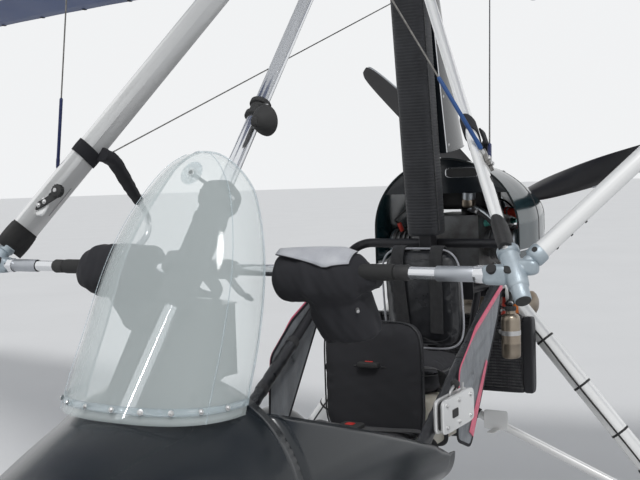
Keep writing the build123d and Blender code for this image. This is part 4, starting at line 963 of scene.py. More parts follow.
def make_mitts():
    """Cloth hand mitts, with the port one's pale top panel, piping and draw cord."""
    for side, name in ((PORT, "mitt_left"), (STARBOARD, "mitt_right")):
        made = piece(name, mitt_shapes(side), "wing", "black_cloth", ("hand_mitts",))
        plump(made, 0.005, 0.006, 0.0045, 0.075, 5 if side == PORT else 9)
    angle = np.linspace(0, 1, 9)
    rows = []
    for share in np.linspace(0, 1, 17):
        y = 0.194 + 0.190 * share
        reach = 1.02 - 0.62 * abs(share - 0.72) ** 0.8 * 1.6
        arc = radians(62) + radians(80) * (angle - 0.5) * np.clip(reach, 0.1, 1)
        radius = 0.0662 - 0.010 * max(0, share - 0.8) / 0.2
        rows.append(np.stack([
            BAR_X - 0.012 + radius * np.cos(arc), y + 0 * arc, BAR_Z - 0.013 + radius * np.sin(arc)], axis=-1))
    panel = piece("mitt_panel", skin(np.array(rows)), "wing", "white_cloth", flip=True)
    thicken(panel, 0.002, 1.0)
    edge = np.array(rows)
    border = np.concatenate([edge[:, 0], edge[-1, 1:-1], edge[::-1, -1]])
    cord = swept(border, circle(0.0016, 10), up=(0.3, 0.2, 1))
    toggle = disc_rod((0.905, 0.384, 1.072), (0.913, 0.390, 1.066), 0.004, finish=1)
    piece("mitt_trim", [cord, toggle], "wing", ("black_cloth", "steel"))


# Training bars

TRAINING_LINE = ((0.660, 0.560, 1.452), (0.585, 0.578, 1.432), (0.500, 0.606, 1.372), (0.446, 0.624, 1.333),
                 (0.380, 0.645, 1.288), (0.350, 0.652, 1.250), (0.364, 0.652, 1.196), (0.446, 0.652, 1.148))


def make_training_bars():
    """The starboard hand bar in its fabric sleeve and buckle, and the strap loops on both uprights."""
    line = smooth_line(TRAINING_LINE, 6)
    tube_shape = swept(line[10:], circle(0.0105, 20)).mirrored()
    sleeve_scale = 1 + 0.10 * np.sin(np.arange(22) * 1.9) * 0.4
    sleeve = swept(line[:22], superellipse(0.0185, 0.0165, 3.0, 28), scale=np.interp(
        np.arange(22), (0, 12, 21), (1.15, 1.0, 0.80)) * sleeve_scale, finish=1).mirrored()
    piece("training_bar", [tube_shape, sleeve], "wing", ("training_finish", "black_cloth"), ("training_bars",))
    aim = unit(line[14] - line[6])
    over = unit(np.cross(np.cross(aim, (0.6, 0, 0.8)), aim))
    box_at = (line[8] + over * 0.020)
    buckle = [
        rounded_slab(box_at, aim, np.cross(over, aim), 0.024, 0.016, 0.016, 6.0, 0.003).mirrored(),
        rounded_slab(box_at + over * 0.0085, aim, np.cross(over, aim), 0.013, 0.008, 0.002, 6.0, finish=1).mirrored(),
    ]
    piece("training_buckle", buckle, "wing", ("black_plastic", "white_cloth"))
    band = upright_sleeve(0.385, 0.425, 0.0040, belly=0.02)
    turn_back = smooth_line([
        upright_place(0.405, -0.030, 0.018), upright_place(0.412, -0.060, 0.020), upright_place(0.405, -0.082, 0.004),
        upright_place(0.398, -0.074, -0.016), upright_place(0.402, -0.040, -0.018)], 6)
    loop = swept(turn_back, superellipse(0.0030, 0.020, 5.0, 16), up=tuple(upright_axes()[0]))
    piece("training_straps", [band, band.mirrored(), loop], "wing", "black_cloth")


# Wires, mirror and strut

def wire_ends(node, side):
    """The low and high end of a flying wire, from the upright's axes and the wing keel's height."""
    low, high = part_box(node)
    forward = node == "front_wires"
    along, ahead, outward = upright_axes()
    share = 0.17 * UPRIGHT_LENGTH + 0.017
    chord = 0.012 if forward else -0.012
    start = CORNER + along * share + ahead * chord + outward * 0.0173
    tang_x = 1.220 if forward else -1.000
    end = np.array((tang_x, 0.0073, wing_keel_height(tang_x) - 0.039))
    mirror = np.array((1, side, 1))
    return start * mirror, end * mirror


def make_wire_fittings():
    """Coloured sleeves, pressed ferrules and bolts on the flying wires' lower ends, and ferrules near their upper
    ends.
    """
    shapes = []
    for node, colours, length in (("front_wires", (0, 1), (0.185, 0.215)), ("rear_wires", (1, 2), (0.085, 0.050))):
        for side, colour, reach in zip((PORT, STARBOARD), colours, length):
            start, end = wire_ends(node, side)
            run = unit(end - start)
            if colour < 2:
                sleeve = [(0, 0.0030), (0.002, 0.0050), (reach * 0.12, 0.0054), (reach * 0.15, 0.0047),
                          (reach - 0.003, 0.0046), (reach, 0.0028)]
                shapes.append(turned(sleeve, start + run * 0.020, run, 20, colour))
            ferrule = [(0, 0.0030), (0.001, 0.0042), (0.016, 0.0042), (0.017, 0.0030)]
            shapes.append(turned(ferrule, start + run * 0.002, run, 18, 2))
            shapes.append(turned(ferrule, end - run * 0.040, run, 18, 2))
            shapes.append(turned(ferrule, end - run * 0.018, run, 18, 2))
            shapes.extend(bolt(start - run * 0.004 + (0, side * 0.0045, 0), (0, side, 0), 0.0048, 2))
    piece("wire_sleeves", shapes, "wing", ("blue_sleeve", "navy_sleeve", "steel"))


def make_strut_pad():
    """The boxy foam sleeve on the front strut with its stitched seam, and the moulded bracket at its top."""
    strut = unit(STRUT_HEAD - STRUT_FOOT)
    heights = np.concatenate([np.linspace(1.084, 1.100, 5), np.linspace(1.110, 1.330, 34), [1.338, 1.3430, 1.3445]])
    path = np.array([strut_at(z) for z in heights])
    share = (heights - 1.084) / (1.3445 - 1.084)
    soft = np.minimum(1, 0.86 + 0.14 * np.minimum(share, 1 - share) / 0.03)
    wander = 1 + 0.010 * np.sin(share * 23) + 0.008 * np.sin(share * 51 + 1)
    sleeve = swept(path, superellipse(0.0340, 0.0340, 3.4, 48), up=(1, 0, 0.2), scale=soft * wander)
    ahead = unit(np.cross((0, 1, 0), strut))
    seam = np.array([strut_at(z) + ahead * 0.0345 for z in np.linspace(1.10, 1.335, 20)])
    stitch = swept(seam, superellipse(0.0040, 0.0012, 4.0, 10), up=tuple(ahead))
    strap_rows = [swept(np.array([strut_at(z - 0.007), strut_at(z + 0.007)]),
                        superellipse(0.0362, 0.0362, 3.4, 48), up=(1, 0, 0.2), finish=1) for z in (1.122, 1.268)]
    made = piece("strut_pad_sleeve", [sleeve, stitch, *strap_rows], "trike", ("pad_foam", "webbing"), ("strut_pad",))
    low, high = strut_at(1.300), strut_at(1.3442)
    collar = swept(np.linspace(low, high, 7), superellipse(0.0440, 0.0410, 4.0, 48), up=(1, 0, 0.2),
                   scale=np.array((0.90, 0.98, 1.0, 1.0, 1.0, 0.97, 0.86)))
    lug = cushion(strut_at(1.334) + np.array((0.012, -0.040, 0.002)), (0.015, 0.010, 0.012), 4.5)
    arm = disc_rod(strut_at(1.334) + np.array((0.0, -0.043, 0.004)), strut_at(1.334) + np.array((0.0, -0.049, 0.004)),
                   0.009, finish=0)
    piece("strut_pad_bracket", [collar, lug, arm, *bolt(strut_at(1.322) + np.array((0.012, 0.0425, 0)), (0, 1, 0),
                                                        0.0055, 1)], "trike", ("black_plastic", "steel"))


def make_screen_fittings():
    """The stay's rod and clear disc, the bend lines, and the bolted strip at the screen's foot."""
    disc_at = np.array((1.0035, 0.018, 1.384))
    root = strut_at(1.338) + np.array((0.010, -0.012, 0.004))
    aim = unit(disc_at - root)
    shapes = [
        swept(np.linspace(root, disc_at - aim * 0.002, 4), circle(0.0042, 16), finish=0),
        turned([(0, 0.008), (0.003, 0.0085), (0.006, 0.006)], disc_at - aim * 0.008, aim, 20, 0),
        turned([(-0.001, 0.0290), (0.0005, 0.0296), (0.0022, 0.0288)], disc_at, (0.86, -0.02, 0.50), 48, 1),
        turned([(0.002, 0.0085), (0.0035, 0.0085), (0.0042, 0.0070)], disc_at, (0.86, -0.02, 0.50), 24, 2),
        turned([(0.004, 0.0052), (0.0062, 0.0050), (0.0066, 0.003)], disc_at, (0.86, -0.02, 0.50), 6, 0),
    ]
    piece("screen_stay", shapes, "trike", ("black_plastic", "screen_edge", "steel"), ("windscreen_stay",))
    rows = screen_points(57)
    shapes = []
    for side in (-1, 1):
        share = 28 + side * 19
        line = rows[:-4, share] + np.array((0.0028, side * 0.0024, 0))
        shapes.append(swept(line, circle(0.0011, 8), up=(1, 0, 0)))
    piece("screen_bends", shapes, "trike", "screen_edge")
    foot = rows[2]
    strip = []
    for lift in (0.0, 0.008, 0.015):
        strip.append(np.stack([foot[:, 0] + 0.0048 - lift * 0.50, foot[:, 1] * 1.012, foot[:, 2] + lift], axis=-1))
    band = piece("screen_strip", skin(np.array(strip)), "trike", "screen_edge", flip=True)
    thicken(band, 0.0018, 1.0)
    shapes = []
    for number in range(9):
        column = 4 + number * 6
        place = foot[column] + np.array((0.006, 0, 0.0075))
        out = unit(np.array((max(0.25, 1 - abs(foot[column, 1]) / 0.27), foot[column, 1] / 0.16, 0.25)))
        shapes.extend(bolt(place, out, 0.0042))
    piece("screen_bolts", shapes, "trike", "steel")


def make_mirror():
    """A round mirror in a bell-shaped body, on its bracket between two ring clamps on the strut."""
    strut = unit(STRUT_HEAD - STRUT_FOOT)
    clamp = strut_at(1.540)
    ring = [(0, 0.0205), (0.001, 0.0262), (0.003, 0.0280), (0.013, 0.0280), (0.015, 0.0262), (0.016, 0.0205)]
    shapes = [turned(ring, strut_at(1.540 + step), strut, 40) for step in (-0.022, 0.009)]
    shapes.append(turned([(0, 0.0200), (0.001, 0.0222), (0.032, 0.0222), (0.033, 0.0200)], strut_at(1.527), strut, 36))
    for step in (-0.022, 0.009):
        lug_at = strut_at(1.540 + step + 0.006) + np.array((0.018, 0.022, -0.004))
        shapes.append(cushion(lug_at, (0.010, 0.012, 0.007), 5.0))
        shapes.extend(bolt(lug_at + (0.004, 0.010, 0), (0.2, 1, 0), 0.0042, 2))
    head = clamp + np.array((0.062, 0.060, -0.030))
    line = smooth_line([clamp + (0.010, 0.020, -0.004), clamp + (0.030, 0.036, -0.030), clamp + (0.048, 0.050, -0.048),
                        head + (-0.006, -0.004, -0.006)], 6)
    shapes.append(swept(line, superellipse(0.0080, 0.0055, 4.0, 20)))
    face = unit(np.array((-0.94, 0.20, 0.10)))
    bell = [(-0.036, 0.006), (-0.034, 0.013), (-0.026, 0.022), (-0.014, 0.031), (-0.002, 0.0375), (0.004, 0.0395),
            (0.006, 0.0385), (0.006, 0.0355), (0.004, 0.0345)]
    shapes.append(turned(bell, head, face, 48))
    shapes.append(turned([(0.0035, 0.0345), (0.0045, 0.0340)], head, face, 48, 1))
    shapes.append(cushion(head - face * 0.034, (0.010, 0.010, 0.012), 3.0))
    piece("mirror", shapes, "trike", ("black_plastic", "mirror_glass", "steel"), ("strut_mirror",))


# Instruments

DIAL_PITCH = 0.072


def make_instruments():
    """Bezels, faces with plain ticks and pointers, small switches and a compass dome on the binnacle."""
    low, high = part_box("binnacle")
    face_x = low.x + 0.005
    top = high.z
    shapes = []
    for number, turn in ((-1, 40.0), (0, 210.0), (1, 120.0)):
        centre = np.array((face_x, number * DIAL_PITCH, top - 0.047))
        bezel = [(0.0, 0.0315), (0.006, 0.0318), (0.008, 0.0300), (0.0085, 0.0280), (0.0055, 0.0275)]
        shapes.append(turned(bezel, centre + (0.001, 0, 0), (-1, 0, 0), 40, 0))
        shapes.append(turned([(0.0050, 0.0276), (0.0056, 0.0274)], centre, (-1, 0, 0), 40, 1))
        for tick in range(10):
            angle = radians(-225 + 30 * tick)
            spoke = np.array((0, sin(angle), cos(angle)))
            start = centre + (-0.0062, 0, 0) + spoke * 0.0205
            shapes.append(disc_rod(start, start + spoke * 0.0050, 0.0007, 0.0002, 8, 2))
        angle = radians(turn)
        spoke = np.array((0, sin(angle), cos(angle)))
        shapes.append(disc_rod(centre + (-0.0070, 0, 0) - spoke * 0.004, centre + (-0.0070, 0, 0) + spoke * 0.019,
                               0.0009, 0.0003, 8, 2))
        shapes.append(turned([(0.0060, 0.0032), (0.0085, 0.0028)], centre, (-1, 0, 0), 16, 0))
    for number in range(6):
        place = np.array((face_x - 0.0005, -0.075 + number * 0.030, top - 0.105))
        shapes.append(turned([(0, 0.0062), (0.003, 0.0062), (0.0035, 0.004)], place, (-1, 0, 0), 16, 3))
        shapes.append(disc_rod(place + (-0.003, 0, 0), place + (-0.015, 0, 0.005), 0.0018, 0.0006, 10, 3))
    for number in range(4):
        place = np.array((face_x - 0.0005, -0.060 + number * 0.040, top - 0.145))
        shapes.append(turned([(0, 0.0070), (0.002, 0.0070), (0.0028, 0.0058), (0.008, 0.0050)], place, (-1, 0, 0), 20,
                             0))
    hood = np.array([[(face_x + step, y, top + 0.0010 + 0.010 * cos(y / 0.115 * pi / 2) * (1 - abs(step) / 0.06))
                      for y in np.linspace(-0.112, 0.112, 25)] for step in (-0.012, 0.0, 0.016, 0.032, 0.044)])
    shapes.append(sheeted(hood[:, ::-1], (0, 0, -0.0022), finish=4))
    dome = [(0.0, 0.030), (0.010, 0.0295), (0.020, 0.0255), (0.028, 0.0170), (0.032, 0.006)]
    shapes.append(turned(dome, (1.066, -0.075, 1.046), (0.35, 0, 1), 36, 0))
    piece("instruments", shapes, "trike", ("black_plastic", "dial_face", "dial_white", "steel", "black_gloss"))


# Seats

def make_seats():
    """Crowned cushions and backrests swollen by their filling, then piping, belts and buckles."""
    fronts = (
        ("front_cushion", "front_seat_cushion", (0.196, 0.184, 0.034), 5.0, 0.012, 0.010),
        ("front_backrest", "front_seat_back", (0.026, 0.174, 0.190), 5.5, 0.0, 0.008),
        ("rear_cushion", "rear_seat_cushion", (0.176, 0.174, 0.036), 5.0, 0.012, 0.010),
    )
    for name, node, half, power, crown, limit in fronts:
        low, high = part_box(node)
        made = piece(name, cushion(np.array((low + high) / 2), half, power, crown), "trike", "seat_cloth", (node,))
        plump(made, 0.006, limit, 0.0015, 0.11, 3)
    low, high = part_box("rear_seat_back")
    lean = unit(MAST_TOP - MAST_FOOT)
    ahead = unit(np.cross((0, 1, 0), lean))
    middle = mast_at(0.774) + lean * 0.178 + ahead * 0.067
    turn = np.stack([ahead, np.array((0.0, 1.0, 0.0)), lean], axis=1)
    back = cushion((0, 0, 0), (0.030, 0.142, 0.170), 4.5).moved(turn, middle)
    made = piece("rear_backrest", back, "trike", "seat_vinyl", ("rear_seat_back",))
    plump(made, 0.006, 0.008, 0.0012, 0.09, 4)
    outline = superellipse(0.146, 0.174, 4.5, 64)
    outline = np.concatenate([outline, outline[:1]])
    pipe = middle + ahead * 0.012 + outline[:, :1] * np.array((0, 1, 0)) + outline[:, 1:] * lean
    seam = middle + ahead * 0.038 + outline[:, :1] * np.array((0, 0.80, 0)) + outline[:, 1:] * lean * 0.82
    shapes = [swept(pipe, circle(0.0036, 10), up=tuple(ahead), caps=False, finish=1),
              swept(seam, circle(0.0011, 8), up=tuple(ahead), caps=False, finish=0)]
    for node, half in (("front_seat_cushion", (0.194, 0.184)), ("rear_seat_cushion", (0.176, 0.175))):
        low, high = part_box(node)
        centre = np.array((low + high) / 2)
        ring = superellipse(half[0], half[1], 6.0, 64)
        ring = np.concatenate([ring, ring[:1]])
        line = centre + np.concatenate([ring, np.full((len(ring), 1), 0.024)], axis=1)
        shapes.append(swept(line, circle(0.0034, 10), caps=False, finish=0))
    low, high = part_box("front_seat_back")
    centre = np.array((low + high) / 2)
    for scale, power in ((0.98, 5.5), (0.74, 4.0)):
        ring = superellipse(0.172 * scale, 0.188 * scale, power, 64)
        ring = np.concatenate([ring, ring[:1]])
        face = high.x - 0.002 if scale < 0.9 else high.x - 0.016
        line = np.stack([np.full(len(ring), face), centre[1] + ring[:, 0], centre[2] + ring[:, 1]], axis=1)
        shapes.insert(0, swept(line, circle(0.0026, 10), up=(1, 0, 0), caps=False, finish=0))
    piece("seat_piping", shapes, "trike", ("seat_vinyl", "white_cloth"))
    belts = []
    tape = superellipse(0.0013, 0.023, 8.0, 14)
    low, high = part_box("front_seat_cushion")
    top = high.z + 0.006
    for x, z, reach in ((0.150, top, 0.21), (0.010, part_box("rear_seat_cushion")[1].z + 0.006, 0.20)):
        for side in (-1, 1):
            line = smooth_line([(x - 0.03, side * reach, z - 0.075), (x, side * (reach - 0.012), z - 0.010),
                                (x + 0.05, side * 0.12, z + 0.004), (x + 0.09, side * 0.035, z + 0.010)], 6)
            belts.append(swept(line, superellipse(0.023, 0.0013, 8.0, 14), up=(0, 0, 1), finish=0))
        belts.append(cushion((x + 0.095, 0, z + 0.015), (0.030, 0.036, 0.009), 6.0, finish=1))
        belts.append(rounded_slab((x + 0.100, 0, z + 0.0245), (1, 0, 0), (0, 1, 0), 0.012, 0.014, 0.003, finish=2))
    for side in (-1, 1):
        rear = smooth_line([middle + lean * 0.150 - ahead * 0.030 + (0, side * 0.070, 0),
                            middle + lean * 0.182 + ahead * 0.010 + (0, side * 0.070, 0),
                            middle + lean * 0.130 + ahead * 0.047 + (0, side * 0.070, 0),
                            middle + ahead * 0.046 + (0, side * 0.066, 0),
                            middle - lean * 0.110 + ahead * 0.047 + (0, side * 0.060, 0)], 6)
        belts.append(swept(rear, tape, up=(0, 1, 0), finish=0))
    piece("seat_belts", belts, "trike", ("webbing", "black_plastic", "red_button"))


def seat_tube_line():
    """The port seat tube from its foot to the hoop's upper bend."""
    rear_z = 1.125
    rear_x = mast_at(rear_z)[0] - 0.030 - 0.0166
    return np.array((0.560, SEAT_TUBE_Y, 0.531)), np.array((rear_x, SEAT_TUBE_Y, rear_z))


# The starboard wrap stops short of where the hand bar passes with the wing pitched and rolled
STARBOARD_WRAP_END = 0.52


def make_seat_tube_wraps():
    """Shiny cloth sleeves wound round the seat tubes, wrinkled across, with an end band."""
    foot, top = seat_tube_line()
    shapes = []
    for side, last in ((PORT, 0.86), (STARBOARD, STARBOARD_WRAP_END)):
        share = np.linspace(0.10, last, 150)
        path = foot + (top - foot) * share[:, None]
        rng = np.random.default_rng(11)
        wrinkle = sum(a * np.sin(share * f + p) for a, f, p in zip(
            rng.uniform(0.006, 0.018, 9), rng.uniform(60, 320, 9), rng.uniform(0, 6, 9)))
        ends = np.clip(np.minimum(share - 0.10, last - share) / 0.012, 0, 1)
        made = [swept(path, superellipse(0.0182, 0.0200, 2.4, 36), scale=0.90 + ends * 0.09 + wrinkle * ends)]
        for place in (0.115, (0.10 + last) / 2, last - 0.015):
            start, end = foot + (top - foot) * (place - 0.010), foot + (top - foot) * (place + 0.010)
            made.append(swept(np.linspace(start, end, 3), superellipse(0.0190, 0.0214, 2.4, 32), finish=1))
        shapes += made if side == PORT else [shape.mirrored() for shape in made]
    piece("seat_tube_wraps", shapes, "trike", ("seat_vinyl", "webbing"))


PANEL_OUTLINE = ((-0.198, 1.007), (0.043, 0.898), (0.175, 0.801), (0.190, 0.680), (0.196, 0.600), (0.100, 0.560),
                 (-0.146, 0.902))


def panel_border(steps=10):
    """The side panel's outline, its straight edges divided evenly and its corners a little rounded."""
    corners = np.array(PANEL_OUTLINE)
    rows = []
    for index, corner in enumerate(corners):
        last, following = corners[index - 1], corners[(index + 1) % len(corners)]
        near = min(0.022, np.linalg.norm(corner - last) / 3, np.linalg.norm(following - corner) / 3)
        start, end = corner + unit(last - corner) * near, corner + unit(following - corner) * near
        t = np.linspace(0, 1, 5)[:, None]
        rows.append(start * (1 - t) ** 2 + corner * 2 * t * (1 - t) + end * t ** 2)
        far = following + unit(corner - following) * near
        s = np.linspace(0, 1, steps + 2)[1:-1, None]
        rows.append(end * (1 - s) + far * s)
    return np.concatenate(rows)


def make_side_panels():
    """Each panel is drawn from its border to its middle, with slack folds running back from the tube."""
    border = panel_border()
    middle = border.mean(axis=0)
    shares = np.concatenate([np.linspace(1, 0.1, 24), [0.02]])[:, None, None]
    plane = middle + (border - middle) * shares
    x, z = plane[..., 0], plane[..., 1]
    edge = 1 - shares[..., 0] ** 3
    slack = edge * (0.0016 * np.sin(90 * (z + 0.55 * x)) + 0.0011 * np.sin(140 * (z + 0.35 * x) + 1.0))
    y = SEAT_TUBE_Y + 0.0195 + slack
    rows = np.stack([x, y, z], axis=-1)
    cloth = skin(rows, wrap=True)
    cloth = Shape(cloth.points, cloth.quads, cloth.flat, [np.arange(len(cloth.points) - len(border),
                                                                    len(cloth.points))[::-1]])
    line = np.concatenate([border, border[:1]])
    hem_path = np.stack([line[:, 0], np.full(len(line), SEAT_TUBE_Y + 0.0195), line[:, 1]], axis=-1)
    for side, name in ((PORT, "side_panel_left"), (STARBOARD, "side_panel_right")):
        shape = cloth if side == PORT else cloth.mirrored()
        made = piece(name, shape, "trike", "mesh_cloth", ("side_panels",))
        thicken(made, 0.0012, 0.0)
    hem = swept(hem_path, superellipse(0.0045, 0.0022, 4.0, 12), up=(0, 1, 0), caps=False)
    front = hem_path[2:48]
    thin = np.interp(np.arange(46), (0, 14, 20, 45), (1.5, 1.5, 0.7, 0.6))
    trim = swept(front + (0, 0.0026, 0), superellipse(0.0056, 0.0016, 4.0, 12), up=(0, 1, 0), scale=thin, finish=1)
    rear, low = np.array(PANEL_OUTLINE[6]), np.array(PANEL_OUTLINE[5])
    band = rear + (low - rear) * np.linspace(0.36, 0.93, 9)[:, None] + 0.021 * np.array((0.812, 0.584))
    path = np.stack([band[:, 0], np.full(9, SEAT_TUBE_Y + 0.0236), band[:, 1]], axis=-1)
    wide = swept(path, superellipse(0.0190, 0.0010, 5.0, 14), up=(0, 1, 0), scale=np.linspace(0.4, 1.0, 9), finish=1)
    piece("side_panel_trim", both_sides([hem, trim, wide]), "trike", ("black_cloth", "pink_cloth"))


def make_throttle_box():
    """Two pale plates round a dark slot, with screws, the lever and its round knob."""
    low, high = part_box("throttle_box")
    x0, x1, y0, y1 = low.x, high.x, low.y, high.y
    z0, z1 = 0.655, 0.752
    middle = np.array(((x0 + x1) / 2, (y0 + y1) / 2, (z0 + z1) / 2))
    half_x, half_z = (x1 - x0) / 2, (z1 - z0) / 2
    right, rise = (1, 0, 0), (0, 0, 1)
    shapes = [
        rounded_slab(middle + (0, -0.0105, 0), rise, right, half_z, half_x, 0.0095, 8.0, 0.003),
        rounded_slab(middle + (0, 0.0105, 0), rise, right, half_z, half_x, 0.0095, 8.0, 0.003),
        rounded_slab(middle, rise, right, half_z - 0.008, half_x - 0.010, 0.0130, 8.0, 0.001, 1),
    ]
    for x_step in (-0.085, 0.0, 0.085):
        for z_step in (-0.030, 0.030):
            shapes.extend(bolt(middle + (x_step, 0.0152, z_step), (0, 1, 0), 0.0046, 2))
    lever = [middle + (0.030, 0, 0.036), middle + (0.026, 0, 0.056), middle + (-0.008, 0, 0.071)]
    shapes.append(swept(smooth_line(lever, 6), superellipse(0.0028, 0.0048, 3.0, 14), finish=2))
    shapes.append(cushion(middle + (-0.010, 0, 0.0725), (0.0125, 0.0125, 0.0115), 2.4, finish=1))
    small = [middle + (-0.060, 0, 0.040), middle + (-0.068, 0, 0.066)]
    shapes.append(swept(np.array(small), superellipse(0.0025, 0.0040, 3.0, 12), finish=2))
    shapes.append(rounded_slab(middle + (0.030, 0.0162, 0.0), right, rise, 0.020, 0.012, 0.002, 8.0, 0.0005, 1))
    piece("throttle", shapes, "trike", ("white_paint", "black_plastic", "steel"), ("throttle_box",))


def make_fuel_tank():
    """A moulded tank with soft edges, a filler cap, two hold-down straps and a seam line."""
    low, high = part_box("fuel_tank")
    centre = np.array((low + high) / 2)
    half = np.array((high - low) / 2) - (0.001, 0.001, 0.0008)
    shapes = [cushion(centre, half, 12.0, count=72)]
    ring = superellipse(half[0] + 0.0008, half[1] + 0.0008, 12.0, 72)
    ring = np.concatenate([ring, ring[:1]])
    line = centre + np.concatenate([ring, np.zeros((len(ring), 1))], axis=1)
    shapes.append(swept(line, circle(0.0020, 8), caps=False))
    for x in (-0.070, 0.070):
        wrap = superellipse(half[1] + 0.0010, half[2] + 0.0012, 12.0, 56)
        wrap = np.concatenate([wrap, wrap[:1]])
        loop = centre + np.stack([np.full(len(wrap), x), wrap[:, 0], wrap[:, 1]], axis=1)
        shapes.append(swept(loop, superellipse(0.013, 0.0010, 6.0, 12), up=(1, 0, 0), caps=False, finish=1))
    cap_at = (centre[0] - 0.090, half[1], centre[2] + 0.030)
    shapes.append(turned([(0, 0.024), (0.004, 0.026), (0.010, 0.026), (0.013, 0.022)], (
        cap_at[0], cap_at[1] - 0.009, cap_at[2]), (0, 1, 0), 32, 2))
    piece("tank", shapes, "trike", ("tank_plastic", "webbing", "black_plastic"), ("fuel_tank",))


# Mast

def make_mast_pad():
    """The ribbed sleeve on the mast: a soft box section along the lean, with a fine wave of ribs."""
    lean = unit(MAST_TOP - MAST_FOOT)
    ahead = unit(np.cross((0, 1, 0), lean))
    along = np.linspace(0.0, 0.986, 470)
    path = mast_at(1.1605) + lean * along[:, None] + ahead * 0.006
    ends = np.clip(np.minimum(along, 0.986 - along) / 0.010, 0, 1) ** 0.5
    ribs = 0.0125 * np.sin(2 * pi * along / 0.0105) * np.clip((along - 0.02) / 0.01, 0, 1)
    sleeve = swept(path, superellipse(0.0600, 0.0490, 3.6, 48), up=tuple(ahead), scale=0.90 + 0.09 * ends + ribs)
    lines = []
    for side in (-1, 1):
        start = mast_at(1.170) + lean * 0.005 + ahead * 0.030 + (0, side * 0.0575, 0)
        lines.append(swept(np.array([start, start + lean * 0.960]), superellipse(0.0016, 0.0050, 4.0, 10),
                           up=tuple(ahead), finish=1))
    bow = [mast_at(2.075) + ahead * 0.0555 + (0, y, 0) + lean * (0.020 * cos(y / 0.045 * pi / 2))
           for y in np.linspace(-0.045, 0.045, 13)]
    lines.append(swept(np.array(bow), circle(0.0016, 10), up=tuple(ahead), finish=1))
    made = piece("mast_pad_sleeve", [sleeve, *lines], "trike", ("ribbed_pad", "webbing"), ("mast_pad",))


# height along the mast, chord, half width
FAIRING_ROWS = ((1.432, 0.300, 0.072), (1.600, 0.251, 0.0655), (1.790, 0.200, 0.058), (1.980, 0.162, 0.0515),
                (2.150, 0.130, 0.046))


def make_mast_fairing():
    """Each level is a half width times one minus the square of the chord's share, to the power 0.6."""
    lean = unit(MAST_TOP - MAST_FOOT)
    ahead = unit(np.cross((0, 1, 0), lean))
    rows = smooth_line([list(row) for row in FAIRING_ROWS], 10)
    share = np.sin(np.linspace(0, pi / 2, 22))
    levels = []
    for z, chord, half in rows:
        y = half * np.maximum(1 - share ** 2, 0.0004) ** 0.6
        x = -0.0443 - chord * share
        loop_x, loop_y = np.concatenate([x, x[::-1]]), np.concatenate([y, -y[::-1]])
        middle = mast_at(z)
        levels.append(middle + ahead * loop_x[:, None] + np.array((0, 1, 0)) * loop_y[:, None])
    shell = skin(np.array(levels), wrap=True, caps=True)
    edges = []
    for side in (-1, 1):
        line = np.array([mast_at(z) + ahead * -0.0460 + (0, side * (half + 0.0005), 0) for z, chord, half in rows])
        edges.append(swept(line, circle(0.0022, 10), up=(1, 0, 0), finish=1))
    foot = np.array(levels[0])
    edges.append(swept(np.concatenate([foot, foot[:1]]), circle(0.0022, 10), up=(0.1, 0, 1), caps=False, finish=0))
    grip_at = mast_at(1.560) + ahead * -0.135 + (0, 0.0545, 0)
    aft = unit(-ahead + np.array((0, -0.14, 0)))
    grip = superellipse(0.040, 0.016, 2.6, 40)
    grip = np.concatenate([grip, grip[:1]])
    ring = grip_at + grip[:, :1] * lean + grip[:, 1:] * aft
    edges.append(swept(ring, circle(0.0035, 10), up=(0, 1, 0), caps=False, finish=2))
    for z in (1.455, 1.62, 1.80, 1.98, 2.13):
        z_chord, z_half = np.interp(z, rows[:, 0], rows[:, 1]), np.interp(z, rows[:, 0], rows[:, 2])
        y = z_half * (1 - 0.1 ** 2) ** 0.6
        for side in (-1, 1):
            place = mast_at(z) + ahead * (-0.0443 - z_chord * 0.10) + (0, side * (y - 0.0012), 0)
            edges.append(turned([(0, 0.0060), (0.0016, 0.0058), (0.0026, 0.0040)], place, (0, side, 0), 18, 3))
    piece("fairing", [shell, *edges], "trike", ("black_gloss", "polished_alloy", "black_plastic", "steel"),
          ("mast_fairing",))


# Engine bay

# station x, half width, lower edge, side, crown
COWL_ROWS = (
    (-0.5000, 0.2735, 1.040, 1.170, 1.4165), (-0.5040, 0.2750, 1.040, 1.170, 1.4180),
    (-0.600, 0.2745, 1.041, 1.172, 1.413), (-0.700, 0.272, 1.045, 1.175, 1.404),
    (-0.800, 0.258, 1.056, 1.183, 1.384), (-0.900, 0.236, 1.074, 1.193, 1.352),
    (-0.960, 0.2165, 1.0895, 1.200, 1.3265),
    (-0.9648, 0.2140, 1.0905, 1.201, 1.3235),
)
SLOT = np.array((-0.4985, 0.072, 1.368))


def cowl_hoop(row, count=49):
    """Straight sides below, an ellipse above: half width times cosine, side plus rise times sine."""
    x, half, low, side, crown = row
    angle = np.linspace(0, pi, count)
    arch = np.stack([np.full(count, x), half * np.cos(angle), side + (crown - side) * np.sin(angle)], axis=1)
    drop = np.linspace(low, side, 7)[:-1]
    port = np.stack([np.full(6, x), np.full(6, half), drop], axis=1)
    return np.concatenate([port, arch, port[::-1] * (1, -1, 1)])


